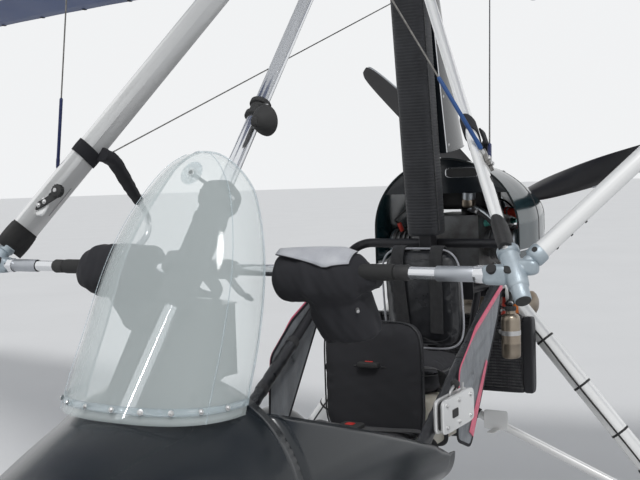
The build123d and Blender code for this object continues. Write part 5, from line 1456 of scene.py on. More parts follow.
def make_cowl():
    """The moulded hood with its front panel, bright-rimmed slot, seam bands, trim lines and fasteners."""
    rows = smooth_line([list(row) for row in COWL_ROWS], 6)
    hood = piece("cowl_hood", skin(np.array([cowl_hoop(row) for row in rows])[:, ::-1]), "trike", "teal_gloss",
                 ("engine_cowl",))
    thicken(hood, 0.004)
    angle = np.linspace(radians(27), radians(153), 41)
    top = np.stack([0.2715 * np.cos(angle), 1.170 + 0.2450 * np.sin(angle)], axis=1)
    base = np.stack([top[:, 0], np.full(41, 1.2950)], axis=1)
    steps = np.linspace(0, 1, 9)[:, None, None]
    grid = base * (1 - steps) + top * steps
    bulge = 0.0060 * np.sin(pi * steps[..., 0]) * np.sin(np.linspace(0, pi, 41))
    panel_rows = np.stack([-0.5022 + bulge, grid[..., 0], grid[..., 1]], axis=-1)
    shapes = [sheeted(panel_rows[:, ::-1], (-0.0025, 0, 0))]
    slot_ring = superellipse(0.0610, 0.0165, 4.5, 60)
    slot_ring = np.concatenate([slot_ring, slot_ring[:1]])
    path = SLOT + (0.0030, 0, 0) + slot_ring[:, :1] * np.array((0, 1, 0)) + slot_ring[:, 1:] * np.array((0, 0, 1))
    shapes.append(swept(path, circle(0.0021, 10), up=(1, 0, 0), caps=False, finish=1))
    # A thin black plate fills the bright ring: painted shade standing in for the dark recess of the slot
    shapes.append(slab(superellipse(0.0590, 0.0145, 4.5, 60), SLOT + (0.0022, 0, 0), (0, 1, 0), (0, 0, 1), 0.002,
                       0.001, 2))
    lip = np.array([row[::-1] for row in [cowl_hoop((-0.5005, 0.2745, 1.040, 1.170, 1.4175))]])[0]
    shapes.append(swept(lip, circle(0.0030, 10), up=(1, 0, 0), finish=2))
    tail = cowl_hoop((-0.9640, 0.2140, 1.0905, 1.201, 1.3235))
    shapes.append(swept(tail, circle(0.0026, 10), up=(1, 0, 0), finish=2))
    for lift, finish in ((0.010, 1), (0.040, 1)):
        line = np.array([(x, half + 0.0008, low + lift + 0.012) for x, half, low, _, _ in rows[6:-4]])
        trim = swept(line, superellipse(0.0024, 0.0012, 4.0, 10), up=(0, 1, 0), finish=finish)
        shapes.extend(both_sides([trim]))
    seam_x = -0.742
    row = [np.interp(-seam_x, [-r[0] for r in COWL_ROWS], [r[i] for r in COWL_ROWS]) for i in range(5)]
    seam = cowl_hoop((seam_x, row[1] + 0.0008, row[2], row[3], row[4] + 0.0008))
    shapes.append(swept(seam, superellipse(0.0012, 0.0060, 4.0, 10), up=(1, 0, 0), finish=2))
    for index in (3, 14, 22, 30, 38, 46, 57):
        place = seam[index]
        outward = unit(np.array((0, place[1], max(place[2] - 1.17, 0.0) * 1.05)))
        for step in (-0.016, 0.016):
            shapes.append(turned([(0, 0.0062), (0.0014, 0.0060), (0.0024, 0.0040)], place + (step, 0, 0), outward, 18,
                                 3))
    piece("cowl_trim", shapes, "trike", ("black_gloss", "polished_alloy", "black_plastic", "steel"))


def hose(points, radius, finish, steps=10):
    """A hose between two fittings, with a clip near each end."""
    line = smooth_line(points, steps)
    shapes = [swept(line, circle(radius, 18), up=(0.2, 0.1, 1), finish=finish)]
    for index, far in ((2, 3), (-4, -3)):
        aim = unit(line[far] - line[index])
        shapes.append(turned([(0, radius), (0.001, radius + 0.0022), (0.008, radius + 0.0022), (0.009, radius)],
                             line[index], aim, 20, 1))
    return shapes


def make_engine_detail():
    """Rocker-cover ribs, plug caps and leads, carburettors, manifolds, coolant and oil hoses, filter and bolts."""
    # finishes: 0 engine, 1 steel, 2 black rubber, 3 red, 4 orange, 5 teal, 6 cast alloy, 7 bronze
    shapes = []
    for x in (-0.600, -0.770):
        for side in (-1, 1):
            cap = np.array((x, side * 0.2335, 1.110))
            out = np.array((0, side, 0))
            shapes.append(turned([(0, 0.0530), (0.006, 0.0530), (0.014, 0.0470), (0.020, 0.0330), (0.0225, 0.012)],
                                 cap, out,
                                 40, 6))
            for lift in (-0.024, -0.008, 0.008, 0.024):
                shapes.append(cushion(cap + (0, side * 0.0185, lift), (0.034 - abs(lift) * 0.5, 0.0055, 0.0026), 4.0,
                                      count=20, finish=6))
            for turn in range(6):
                angle = 2 * pi * turn / 6 + 0.5
                shapes.extend(bolt(cap + (0.045 * cos(angle), side * 0.004, 0.045 * sin(angle)), out, 0.0040, 1))
            plug = np.array((x + 0.040, side * 0.195, 1.158))
            up = unit(np.array((0.35, side * 0.25, 1.0)))
            shapes.append(turned([(0, 0.0070), (0.010, 0.0085), (0.030, 0.0085), (0.034, 0.0060)], plug, up, 20, 3))
            lead = [plug + up * 0.030, plug + up * 0.052 + (0.010, 0, 0), (x + 0.020, side * 0.130, 1.262),
                    (-0.700, side * 0.055, 1.268)]
            shapes.append(swept(smooth_line(lead, 8), circle(0.0036, 12), up=(0.2, 0.1, 1), finish=2))
    # A black airbox, enlarged to fill the gap seen through the cowl's open rear: partly a real airbox, partly painted
    # shade for the dark inside of the hood
    shapes.append(cushion((-0.700, 0, 1.276), (0.110, 0.118, 0.044), 5.0, finish=2))
    for x, side in ((-0.560, 1), (-0.560, -1)):
        body_at = np.array((x + 0.012, side * 0.075, 1.272))
        shapes.append(turned([(0, 0.016), (0.004, 0.024), (0.030, 0.024), (0.034, 0.019), (0.044, 0.019)], body_at,
                             (0.3, side * 0.2, 1), 28, 6))
        shapes.append(cushion(body_at + (0.0, 0, -0.014), (0.022, 0.022, 0.018), 4.0, count=28, finish=7))
        runner = [body_at + (0, 0, -0.028), (x - 0.010, side * 0.120, 1.220), (x - 0.030, side * 0.165, 1.172)]
        shapes.append(swept(smooth_line(runner, 8), circle(0.0145, 20), up=(1, 0.1, 0), finish=6))
    port_side = (
        ([(-0.735, 0.150, 1.222), (-0.700, 0.205, 1.206), (-0.690, 0.250, 1.150), (-0.700, 0.246, 1.060),
          (-0.690, 0.200, 1.002), (-0.610, 0.190, 0.930), (-0.566, 0.195, 0.850)], 0.0150, 3),
        ([(-0.830, 0.140, 1.220), (-0.850, 0.196, 1.170), (-0.850, 0.214, 1.080), (-0.800, 0.215, 1.010),
          (-0.680, 0.225, 0.985), (-0.575, 0.235, 0.905), (-0.566, 0.235, 0.840)], 0.0110, 4),
        ([(-0.520, 0.100, 1.240), (-0.498, 0.175, 1.190), (-0.492, 0.220, 1.110), (-0.480, 0.235, 1.020),
          (-0.420, 0.270, 0.950), (-0.375, 0.283, 0.916)], 0.0070, 2),
    )
    for points, radius, finish in port_side:
        shapes.extend(hose(points, radius, finish))
    starboard = ([(-0.735, -0.150, 1.222), (-0.690, -0.215, 1.190), (-0.690, -0.236, 1.060), (-0.620, -0.200, 0.960),
                  (-0.566, -0.195, 0.850)], 0.0150, 2)
    shapes.extend(hose(*starboard))
    for place, axis, length in (((-0.700, 0.128, 1.190), (0, 1, 0), 0.026), ((-0.560, 0.128, 1.185), (0, 1, 0), 0.022),
                                ((-0.840, 0.128, 1.180), (0, 1, 0), 0.022),
                                ((-0.690, 0.215, 1.002), (1, 0.3, 0), 0.020)):
        shapes.append(turned([(0, 0.011), (0.002, 0.013), (length * 0.5, 0.013), (length * 0.55, 0.010),
                              (length, 0.010)],
                             place, axis, 6, 5))
    shapes.append(turned([(0, 0.030), (0.006, 0.036), (0.070, 0.036), (0.078, 0.030)], (-0.504, -0.060, 1.060),
                         (1, 0, 0),
                         36, 2))
    for x in (-0.540, -0.660, -0.710, -0.845):
        for side in (-1, 1):
            shapes.extend(bolt((x, side * 0.126, 1.030), (0, side, 0), 0.0050, 1))
    shapes.append(turned([(0, 0.090), (0.004, 0.0935), (0.012, 0.0935), (0.016, 0.090)], (-0.8830, 0, 1.210),
                         (-1, 0, 0), 48, 6))
    for turn in range(8):
        angle = 2 * pi * turn / 8
        shapes.extend(bolt((-1.0145, 0.072 * cos(angle), 1.210 + 0.072 * sin(angle)), (-1, 0, 0), 0.0050, 1))
    piece("engine_detail", shapes, "trike", ("engine_grey", "steel", "black_rubber", "red_hose", "orange_hose",
                                             "teal_anodised", "cast_alloy", "bronze_can"))


def make_engine_bay():
    """The domed silencer with its straps, the framed radiator core, and the oil can."""
    dome = [(0, 0.006), (0.004, 0.026), (0.012, 0.040), (0.022, 0.0490), (0.028, 0.0498), (0.060, 0.0498),
            (0.061, 0.0506), (0.066, 0.0506), (0.067, 0.0498), (0.313, 0.0498), (0.314, 0.0506), (0.319, 0.0506),
            (0.320, 0.0498), (0.352, 0.0498), (0.358, 0.0490), (0.368, 0.040), (0.376, 0.026), (0.380, 0.006)]
    shapes = [turned(dome, (-0.955, -0.190, 0.850), (0, 1, 0), 48)]
    for side in (-1, 1):
        y = side * 0.060
        pipe = smooth_line([(-0.850, y, 0.970), (-0.850, y, 0.915), (-0.858, y, 0.888), (-0.885, y, 0.876),
                            (-0.930, y, 0.862)], 8)
        shapes.append(swept(pipe, circle(0.0178, 24), up=(0, 1, 0)))
        shapes.append(turned([(0, 0.0178), (0.001, 0.0215), (0.008, 0.0215), (0.009, 0.0178)], (-0.850, y, 0.966),
                             (0, 0, -1), 28, 1))
        spring = np.linspace(0, 1, 90)
        coil = np.stack([-0.868 + 0.0045 * np.cos(spring * 60), y + side * 0.0225 + 0.0045 * np.sin(spring * 60),
                         0.900 + 0.040 * spring], axis=1)
        shapes.append(swept(coil, circle(0.0009, 6), up=(0, 0.1, 1), finish=1))
    outlet = smooth_line([(-0.955, -0.150, 0.805), (-0.957, -0.152, 0.790), (-0.975, -0.152, 0.778)], 6)
    shapes.append(swept(outlet, circle(0.0160, 24), up=(0, 1, 0), finish=0))
    piece("silencer", shapes, "trike", ("exhaust_steel", "steel"), ("exhaust",))
    low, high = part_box("radiator")
    middle = np.array((low + high) / 2)
    half = np.array((high - low) / 2)
    shapes = []
    for side in (-1, 1):
        shapes.append(cushion(middle + (0, side * (half[1] - 0.019), 0), (half[0] - 0.0006, 0.0185, half[2] - 0.001),
                              8.0,
                              finish=0))
    for lift in (-1, 1):
        shapes.append(cushion(middle + (0, 0, lift * (half[2] - 0.008)), (half[0] - 0.002, half[1] - 0.036, 0.0075),
                              10.0,
                              finish=0))
    rows = 22
    for number in range(rows):
        z = low.z + 0.018 + (high.z - low.z - 0.036) * (number + 0.5) / rows
        shapes.append(cushion((middle[0], 0, z), (half[0] - 0.007, half[1] - 0.037, 0.0018), 8.0, count=16, finish=0))
    fin_path = np.linspace(-half[1] + 0.037, half[1] - 0.037, 540)
    for x in (-half[0] + 0.012, half[0] - 0.012):
        wave = np.stack([np.full(540, middle[0] + x * 0.98) + 0.0016 * np.sin(fin_path * 2 * pi / 0.0065), fin_path],
                        axis=1)
        rows_ = np.stack([np.concatenate([wave, np.full((540, 1), z)], axis=1) for z in np.linspace(
            low.z + 0.018, high.z - 0.018, 4)])
        shapes.append(sheeted(rows_, (-0.0004, 0, 0), finish=1))
    piece("radiator_core", shapes, "trike", ("black_paint", "radiator_fin"), ("radiator",))
    x, y, foot = -0.370, 0.285, 0.742
    can = [(0, 0.012), (0.0, 0.024), (0.003, 0.0292), (0.009, 0.0318), (0.020, 0.0320), (0.046, 0.0320),
           (0.048, 0.0328),
           (0.052, 0.0328), (0.054, 0.0320), (0.128, 0.0320), (0.138, 0.0305), (0.146, 0.0255), (0.150, 0.0170),
           (0.158, 0.0158), (0.160, 0.0158)]
    cap = [(0.160, 0.0170), (0.161, 0.0196), (0.170, 0.0198), (0.173, 0.0185), (0.174, 0.012)]
    shapes = [turned(can, (x, y, foot), (0, 0, 1), 48), turned(cap, (x, y, foot), (0, 0, 1), 28, 1)]
    strap = [(0, 0.0321), (0.0004, 0.0331), (0.0156, 0.0331), (0.016, 0.0321)]
    shapes.append(turned(strap, (x, y, foot + 0.078), (0, 0, 1), 40, 2))
    shapes.append(cushion((x - 0.012, y - 0.036, foot + 0.086), (0.008, 0.010, 0.007), 4.0, count=20, finish=2))
    arm = [(x - 0.023, 0.0235, foot + 0.072), (x - 0.023, y - 0.030, foot + 0.072)]
    shapes.append(swept(np.linspace(arm[0], arm[1], 3), superellipse(0.0048, 0.0140, 6.0, 20), finish=1))
    piece("oil_can", shapes, "trike", ("bronze_can", "black_plastic", "steel"), ("oil_tank",))


# Undercarriage

def ring_lathe(profile, centre, count=96, finish=0):
    """A closed (distance, radius) loop spun about the y axis, joined to itself both ways."""
    profile = np.asarray(profile, float)
    angle = np.linspace(0, 2 * pi, count, endpoint=False)
    x, y, z = centre
    rows = np.stack([
        x + profile[None, :, 1] * np.sin(angle)[:, None],
        y + profile[None, :, 0] + 0 * angle[:, None],
        z + profile[None, :, 1] * np.cos(angle)[:, None]], axis=-1)
    return ring_skin(rows, finish)


def tyre_profile(radius, width, grooves):
    """Bead, bulging wall, shoulder and ribbed tread from one side to the other, closed inside the rim."""
    half = width / 2
    bead, inner = half * 0.72, 0.1023
    wall_angle = np.linspace(-pi / 2, pi / 2, 17)
    belly = (inner + radius - 0.014) / 2
    rise = (radius - 0.014 - inner) / 2
    side_y = bead + (half - bead) * np.cos(wall_angle)
    side_r = belly + rise * np.sin(wall_angle)
    tread_y = np.linspace(bead * 0.97, -bead * 0.97, 61)
    crown = radius - 0.014 * np.abs(tread_y / bead) ** 2.2
    for groove in grooves:
        crown = crown - 0.0050 * np.exp(-((tread_y - groove * bead) / 0.0022) ** 4)
    port = np.stack([side_y, side_r], axis=1)
    top = np.stack([tread_y, crown], axis=1)
    other = port[::-1] * (-1, 1)
    return np.concatenate([port, top, other])


WHEELS = (
    ("front", "front_wheel", "front_tyre", (1.420, 0.0, 0.178), 0.178, 0.096, (-0.45, 0.0, 0.45)),
    ("rear_left", "rear_wheel_left", "rear_tyre_left", (-0.640, 0.850, 0.200), 0.200, 0.116, (-0.6, -0.2, 0.2, 0.6)),
    ("rear_right", "rear_wheel_right", "rear_tyre_right", (-0.640, -0.850, 0.200), 0.200, 0.116,
     (-0.6, -0.2, 0.2, 0.6)),
)


def make_wheels():
    """Ribbed tyres with moulded wall lines, rim lips, hub bolts, valve and hub caps."""
    for name, body, node, centre, radius, width, grooves in WHEELS:
        shapes = [ring_lathe(tyre_profile(radius, width, grooves), centre)]
        half = width / 2
        for side in (-1, 1):
            for reach, out in ((0.128, 0.955), (radius - 0.028, 0.985)):
                line = [(side * half * out - 0.0012, reach), (side * half * out + 0.0012, reach),
                        (side * half * out + 0.0010, reach + 0.0028), (side * half * out - 0.0010, reach + 0.0028)]
                shapes.append(ring_lathe(line, centre, 72))
        piece(name + "_tread", shapes, body, "tyre_rubber", (node,))
        rim_half = width * 0.36
        shapes = []
        for side in (-1, 1):
            y = side * rim_half
            lip = [(y - 0.0030, 0.0945), (y + 0.0030, 0.0945), (y + 0.0038, 0.1000), (y + 0.0010, 0.1035),
                   (y - 0.0026, 0.1000)]
            shapes.append(ring_lathe(lip, centre, 72))
            start = (centre[0], centre[1] + y, centre[2])
            shapes.append(turned([(-0.002, 0.0275), (0.002, 0.0272), (0.006, 0.0245), (0.008, 0.0180)], start,
                                 (0, side, 0),
                                 32, 0))
            for turn in range(6):
                angle = 2 * pi * (turn + 0.5) / 6
                place = (centre[0] + 0.038 * cos(angle), centre[1] + side * 0.0062, centre[2] + 0.038 * sin(angle))
                shapes.extend(bolt(place, (0, side, 0), 0.0050, 1))
        valve = (centre[0] + 0.080, centre[1] + rim_half * 0.55, centre[2] + 0.030)
        shapes.append(turned([(0, 0.0040), (0.012, 0.0036), (0.014, 0.0044), (0.022, 0.0040), (0.023, 0.002)], valve,
                             (-0.4, 1, -0.1), 14, 2))
        piece(name + "_hub", shapes, body, ("cast_alloy", "steel", "black_rubber"))


def make_spats():
    """A teardrop from the side, a soft box across: each station's arch from one lower edge to the other."""
    side_line = smooth_line([(0.2250, 0.020), (0.2215, 0.050), (0.205, 0.096), (0.170, 0.149), (0.110, 0.198),
                             (0.040, 0.2225), (-0.040, 0.2190), (-0.130, 0.184), (-0.220, 0.120), (-0.300, 0.045),
                             (-0.345, -0.016), (-0.357, -0.046)], 5)
    reach, top = side_line[:, 0], side_line[:, 1]
    nose = np.clip((0.2262 - reach) / 0.110, 0, 1)
    tail = np.clip((reach + 0.3615) / 0.300, 0, 1)
    half = 0.0835 * np.minimum(1, (1 - (1 - nose) ** 2.4) ** 0.42) * np.minimum(1, (1 - (1 - tail) ** 2.2) ** 0.62)
    low = np.where(reach > 0.200, -0.090 + (reach - 0.200) / 0.026 * 0.075, -0.090)
    angle = np.linspace(0, pi, 41)
    c, s = np.cos(angle), np.sin(angle)
    rows = []
    for x, z_top, w, z_low in zip(reach, top, half, low):
        y = w * np.sign(c) * np.abs(c) ** 0.55
        z = z_low + (z_top - z_low) * np.abs(s) ** 0.60
        rows.append(np.stack([np.full(41, REAR_AXLE_X + x), HALF_TRACK + y, 0.200 + z], axis=1))
    shell = skin(np.array(rows))
    for side, name in ((PORT, "spat_left"), (STARBOARD, "spat_right")):
        shape = Shape(shell.points, shell.quads[:, ::-1], shell.flat[:, ::-1])
        made = piece(name, shape if side == PORT else shape.mirrored(), "trike", "black_gloss", ("rear_spats",))
        thicken(made, 0.004)
    hem = np.concatenate([np.array(rows)[:, 0], np.array(rows)[::-1, -1]])
    edge = swept(np.concatenate([hem, hem[:1]]), circle(0.0026, 10), up=(0, 0, 1), caps=False)
    hub = turned([(0, 0.0160), (0.004, 0.0160), (0.006, 0.0140)], (REAR_AXLE_X, HALF_TRACK + 0.0822, 0.200), (0, 1, 0),
                 30, 1)
    nut = bolt((REAR_AXLE_X, HALF_TRACK + 0.0878, 0.200), (0, 1, 0), 0.0085, 1)
    screws = []
    for turn in range(4):
        angle_ = pi / 4 + turn * pi / 2
        place = (REAR_AXLE_X + 0.052 * cos(angle_), HALF_TRACK + 0.0826, 0.200 + 0.052 * sin(angle_))
        screws.append(turned([(0, 0.0060), (0.0014, 0.0058), (0.0022, 0.0040)], place, (0, 1, 0), 18, 1))
    piece("spat_trim", both_sides([edge, hub, *nut, *screws]), "trike", ("black_rubber", "steel"))


def make_undercarriage():
    """Clamp rings on legs and arms, brake discs' cables, the keel's bracket, wheel nuts, pegs and bolts."""
    top = np.array((-0.590, 0.200, 0.934))
    foot = np.array((REAR_AXLE_X, 0.700, 0.306))
    run = unit(foot - top)
    length = np.linalg.norm(foot - top)
    ring = [(0, 0.0322), (0.001, 0.0352), (0.004, 0.0362), (0.022, 0.0362), (0.025, 0.0352), (0.026, 0.0322)]
    shapes = [turned(ring, top + run * 0.020, run, 40, 0), turned(ring, foot - run * 0.060, run, 40, 0)]
    for step in (0.033, length - 0.047):
        shapes.extend(bolt(top + run * step + (0.0355, 0, 0), (1, 0, 0), 0.0055, 1))
    inner = np.array((-0.630, 0.025, 0.495))
    outer = np.array((REAR_AXLE_X, 0.700, 0.214))
    arm = unit(outer - inner)
    small = [(0, 0.0152), (0.001, 0.0182), (0.014, 0.0182), (0.015, 0.0152)]
    shapes += [turned(small, inner + arm * step, arm, 30, 0) for step in (0.030, 0.110, 0.600)]
    shapes.append(cushion(inner + arm * 0.020, (0.020, 0.014, 0.020), 4.0, count=28, finish=0))
    plate = superellipse(0.046, 0.036, 10.0, 32)
    shapes.append(slab(plate, inner + arm * 0.118 + (0.017, 0, 0.014), (0, 1, 0), (0, 0, 1), 0.003, 0.001, 2))
    shapes.append(slab(superellipse(0.046, 0.015, 10.0, 32), inner + arm * 0.118 + (0.032, 0, -0.020), (1, 0, 0),
                       (0, 1, 0),
                       0.003, 0.001, 2))
    pipe = smooth_line([foot + (0.040, 0.010, -0.030), foot + (0.036, -0.040, 0.050), top + run * 0.40 + (0.038, 0, 0),
                        top + run * 0.12 + (0.038, 0, 0), (-0.560, 0.150, 0.900)], 10)
    shapes.append(swept(pipe, circle(0.0030, 10), finish=3))
    for share in (0.25, 0.5, 0.75):
        place = top + run * length * share
        shapes.append(turned([(0, 0.0323), (0.0004, 0.0336), (0.0075, 0.0336), (0.008, 0.0323)], place, run, 32, 3))
    piece("leg_fittings", both_sides(shapes), "trike", ("black_plastic", "steel", "white_paint", "black_rubber"))
    shapes = []
    lean = radians(15)
    up = np.array((-sin(lean), 0, cos(lean)))
    head = np.array((1.380, 0, 0.485)) + up * 0.100
    for number in range(7):
        y = 0.100 + number * 0.0130
        shapes.append(turned([(0, 0.0162), (0.002, 0.0182), (0.006, 0.0182), (0.008, 0.0162)], head + (0, y, 0),
                             (0, 1, 0), 28,
                             0))
    shapes.append(turned([(0, 0.0162), (0.003, 0.0178), (0.0040, 0.0110)], head + (0, 0.189, 0), (0, 1, 0), 28, 0))
    axle = np.array(FRONT_AXLE)
    shapes.extend(bolt(axle + (0, 0.0905, 0), (0, 1, 0), 0.0085, 1))
    boot = np.array((1.380, 0, 0.485)) - up * 0.084
    shoulder = boot + up * 0.004 + (0, 0.074, 0)
    leg = unit(axle + (0, 0.074, 0) - shoulder)
    ribs = []
    for number in range(7):
        ribs += [(0.012 + number * 0.0085, 0.0150), (0.0160 + number * 0.0085, 0.0182)]
    shapes.append(turned(ribs + [(0.074, 0.0150)], shoulder, leg, 32, 0))
    piece("fork_fittings", both_sides(shapes), "fork", ("black_rubber", "steel"))
    angle = np.linspace(radians(-62), radians(49), 57)
    across = np.linspace(-1, 1, 25)
    drop = 0.0100 * np.abs(across) ** 5
    taper = 1 - 0.22 * np.abs(np.linspace(-1, 1, 57))[:, None] ** 6
    radius = 0.1912 - drop[None, :]
    rows = np.stack([
        FRONT_AXLE[0] + radius * np.sin(angle)[:, None],
        0.0550 * across[None, :] * taper,
        FRONT_AXLE[2] + radius * np.cos(angle)[:, None]], axis=-1)
    guard = piece("mudguard", skin(rows[:, ::-1]), "fork", "black_gloss", ("front_mudguard",))
    thicken(guard, 0.003)
    boss = turned([(0, 0.0140), (0.024, 0.0140), (0.026, 0.0190), (0.028, 0.0200)], boot - up * 0.0005, -up, 28)
    stays = [boss]
    for side in (-1, 1):
        stays.append(swept(smooth_line([axle + (0.004, side * 0.0580, 0.006), axle + (0.060, side * 0.0585, 0.080),
                                        axle + (0.110, side * 0.0560, 0.142)], 8), circle(0.0030, 12), up=(0, 1, 0)))
    piece("mudguard_stays", stays, "fork", "black_paint")


# radius share, chord, thickness, pitch in degrees
BLADE_ROWS = ((0.062, 0.052, 0.036, 50), (0.12, 0.074, 0.030, 44), (0.22, 0.104, 0.024, 36),
              (0.36, 0.117, 0.0185, 29.5),
              (0.50, 0.118, 0.015, 24), (0.66, 0.107, 0.0118, 20), (0.80, 0.092, 0.009, 17),
              (0.91, 0.076, 0.0072, 15.2),
              (0.97, 0.058, 0.0058, 14.3), (0.995, 0.030, 0.0040, 14))
PROP_ANGLES = (136.3, 16.3, 256.3)
PROP_RADIUS = 0.850


def blade_shape():
    """A blade along y: a cambered section at each radius, turned by its pitch from the plane of rotation."""
    rows = smooth_line([list(row) for row in BLADE_ROWS], 5)
    angle = np.linspace(0, 2 * pi, 44, endpoint=False)
    along = np.cos(angle)
    camber = 0.5 * (1 - along ** 2)
    half_thick = np.sin(angle) * np.sqrt(np.clip(1.02 + 0.75 * along, 0, 2)) * 0.5
    share, chord, thick, pitch = (rows[:, i][:, None] for i in range(4))
    ahead = along * chord / 2
    lift = thick * (0.42 * camber + 0.62 * half_thick)
    turn = np.radians(pitch)
    x = ahead * np.sin(turn) + lift * np.cos(turn)
    z = -ahead * np.cos(turn) + lift * np.sin(turn)
    return skin(np.stack([x, PROP_RADIUS * share + 0 * x, z], axis=-1)[:, ::-1], wrap=True, caps=True)


def make_propeller():
    """Three twisted blades with pale leading-edge guards, root clamps, and the bolted hub."""
    blade = blade_shape()
    rows = smooth_line([list(row) for row in BLADE_ROWS], 5)[18:-3]
    turn = np.radians(rows[:, 3])
    ahead = rows[:, 1] / 2 * 1.004
    edge = np.stack([ahead * np.sin(turn) + 0.0004, PROP_RADIUS * rows[:, 0], -ahead * np.cos(turn)], axis=1)
    guard = swept(edge, superellipse(0.0030, 0.0022, 2.4, 12), up=(1, 0, 0), finish=1)
    root = turned([(0.0625, 0.0270), (0.066, 0.0290), (0.080, 0.0290), (0.090, 0.0255), (0.094, 0.0215)], (0, 0, 0),
                  (0, 1, 0),
                  36, 2)
    shapes = []
    for degrees_ in PROP_ANGLES:
        angle = radians(degrees_)
        spin = np.array(((1, 0, 0), (0, cos(angle), -sin(angle)), (0, sin(angle), cos(angle))))
        for shape in (blade, guard, root):
            shapes.append(shape.moved(spin, PROP_CENTRE))
    piece("blades", shapes, "propeller", ("propeller_black", "satin_alloy", "cast_alloy"), ("propeller_blades",))
    shapes = []
    for side in (-1, 1):
        start = PROP_CENTRE + (side * 0.034, 0, 0)
        plate = [(-0.0005, 0.0580), (0.002, 0.0575), (0.004, 0.0555), (0.0045, 0.0200)]
        shapes.append(turned(plate, start, (side, 0, 0), 48, 0))
        for number in range(6):
            angle = 2 * pi * number / 6 + 0.3
            shapes.extend(bolt(start + (side * 0.0042, 0.040 * cos(angle), 0.040 * sin(angle)), (side, 0, 0), 0.0052,
                               1))
    shapes.append(turned([(0, 0.0205), (0.006, 0.0205), (0.014, 0.0160), (0.018, 0.0090)],
                         PROP_CENTRE + (-0.038, 0, 0), (
        -1, 0, 0), 32, 0))
    piece("hub_plates", shapes, "propeller", ("cast_alloy", "steel"))


# Sail

# share of chord back from the nose, share of chord up: over the top, from the trailing edge to the nose
SAIL_TOP = ((1.0, 0.003), (0.75, 0.016), (0.58, 0.034), (0.45, 0.078), (0.34, 0.104), (0.25, 0.110), (0.18, 0.104),
            (0.10, 0.088), (0.035, 0.061), (0.012, 0.047), (0.0, 0.028), (0.004, 0.010), (0.02, 0.0))
SAIL_UNDER = ((0.02, 0.0), (0.20, -0.0005), (0.40, -0.0005), (0.58, 0.001), (0.65, 0.006), (0.70, 0.0125))
ROOT_CHORD = 2.45
TIP_CHORD = 1.00025
BATTENS = tuple(0.30 + 0.38 * number for number in range(11))


def sail_points(y, section):
    """Each section is shared out by the chord there, turned nose up, and hung from the swept leading edge."""
    y = np.asarray(y, float)[:, None]
    share = y / HALF_SPAN
    chord = ROOT_CHORD + (TIP_CHORD - ROOT_CHORD) * share
    nose_x = WING_NOSE_X - y * tan(radians(26))
    root = wing_keel_height(WING_NOSE_X) + 0.0253 / cos(KEEL_SLOPE)
    nose_z = root - (WING_NOSE_X - nose_x) * tan(KEEL_SLOPE) + y * tan(radians(1.6))
    angle = KEEL_SLOPE - radians(6) * share
    back, up = section[None, :, 0], section[None, :, 1]
    up = up * np.sqrt(1 - 0.9 * np.clip((y - 4.16) / 0.14, 0, 1) ** 2)
    bay = np.sin(pi * (y - BATTENS[0]) / 0.38) ** 2
    up = up - 0.0026 * bay * np.clip(back - 0.06, 0, 0.5) * 2
    back = np.minimum(back, 1 - 0.008 * bay * (back > 0.98))
    x = nose_x - back * chord * np.cos(angle) + up * chord * np.sin(angle)
    z = nose_z - back * chord * np.sin(angle) + up * chord * np.cos(angle)
    return np.stack([x, y + 0 * x, z], axis=-1)


# Shares of the chord where the blue nose ends and the blue tail starts, and the cloth's wall in metres
BLUE_NOSE_END = 0.105
BLUE_TAIL_START = 0.80
CLOTH_WALL = 0.0012


def make_sail():
    """Upper and lower cloth from root to tip with blue edges, then batten pockets and panel seams."""
    y = np.linspace(0.003, HALF_SPAN - 0.001, 115)
    for name, line in (("upper", SAIL_TOP), ("lower", SAIL_UNDER)):
        section = smooth_line([list(row) for row in line], 6)
        rows = sail_points(y, section)
        centre = (section[1:, 0] + section[:-1, 0]) / 2
        blue = (centre < BLUE_NOSE_END) | ((centre > BLUE_TAIL_START) & (name == "upper"))
        shape = skin(rows)
        shape.finish = np.tile(blue.astype(int), len(y) - 1)
        for side, label in ((PORT, "left"), (STARBOARD, "right")):
            cloth = shape
            if side == STARBOARD:
                cloth = shape.mirrored()
                cloth.finish = shape.finish
            made = piece("cloth_%s_%s" % (name, label), cloth, "wing", ("sail_cloth", "sail_blue"), ("sail_" + label,))
            thicken(made, CLOTH_WALL, 0.0)
    top = smooth_line([list(row) for row in SAIL_TOP], 6)
    top = top[(top[:, 0] > 0.05) & (top[:, 1] > 0.0026)]
    shapes = []
    for place in BATTENS:
        path = sail_points([place], top)[0] + (0, 0, 0.0018)
        pocket = swept(path, superellipse(0.0150, 0.0014, 5.0, 12), up=(0, 0, 1))
        cap = cushion(path[0] + (0.004, 0, 0), (0.014, 0.010, 0.0050), 4.0, count=16, finish=1)
        shapes += [pocket, cap]
    for share in (0.105, 0.80):
        index = int(np.argmin(np.abs(top[:, 0] - share)))
        seam = sail_points(y[2:-2], top)[:, index] + (0, 0, 0.0014)
        shapes.append(swept(seam, superellipse(0.0060, 0.0007, 5.0, 10), up=(0, 0, 1)))
    piece("sail_battens", both_sides(shapes), "wing", ("white_cloth", "black_plastic"))


class TRIKE_OT_control_frame(bpy.types.Operator):
    """Casts the corner knuckles and dresses the uprights"""
    bl_idname = "trike.control_frame"
    bl_label = "Control frame"

    def execute(self, context):
        make_corner_fittings()
        make_upright_details()
        make_training_bars()
        make_wire_fittings()
        return {"FINISHED"}


class TRIKE_OT_bar(bpy.types.Operator):
    """Dresses the bar with foam, sleeves, wrap and hand mitts"""
    bl_idname = "trike.bar"
    bl_label = "Control bar"

    def execute(self, context):
        make_bar_dressing()
        make_bar_wrap()
        make_mitts()
        return {"FINISHED"}


class TRIKE_OT_strut(bpy.types.Operator):
    """Puts the foam sleeve and the mirror on the front strut"""
    bl_idname = "trike.strut"
    bl_label = "Front strut"

    def execute(self, context):
        make_strut_pad()
        make_mirror()
        return {"FINISHED"}


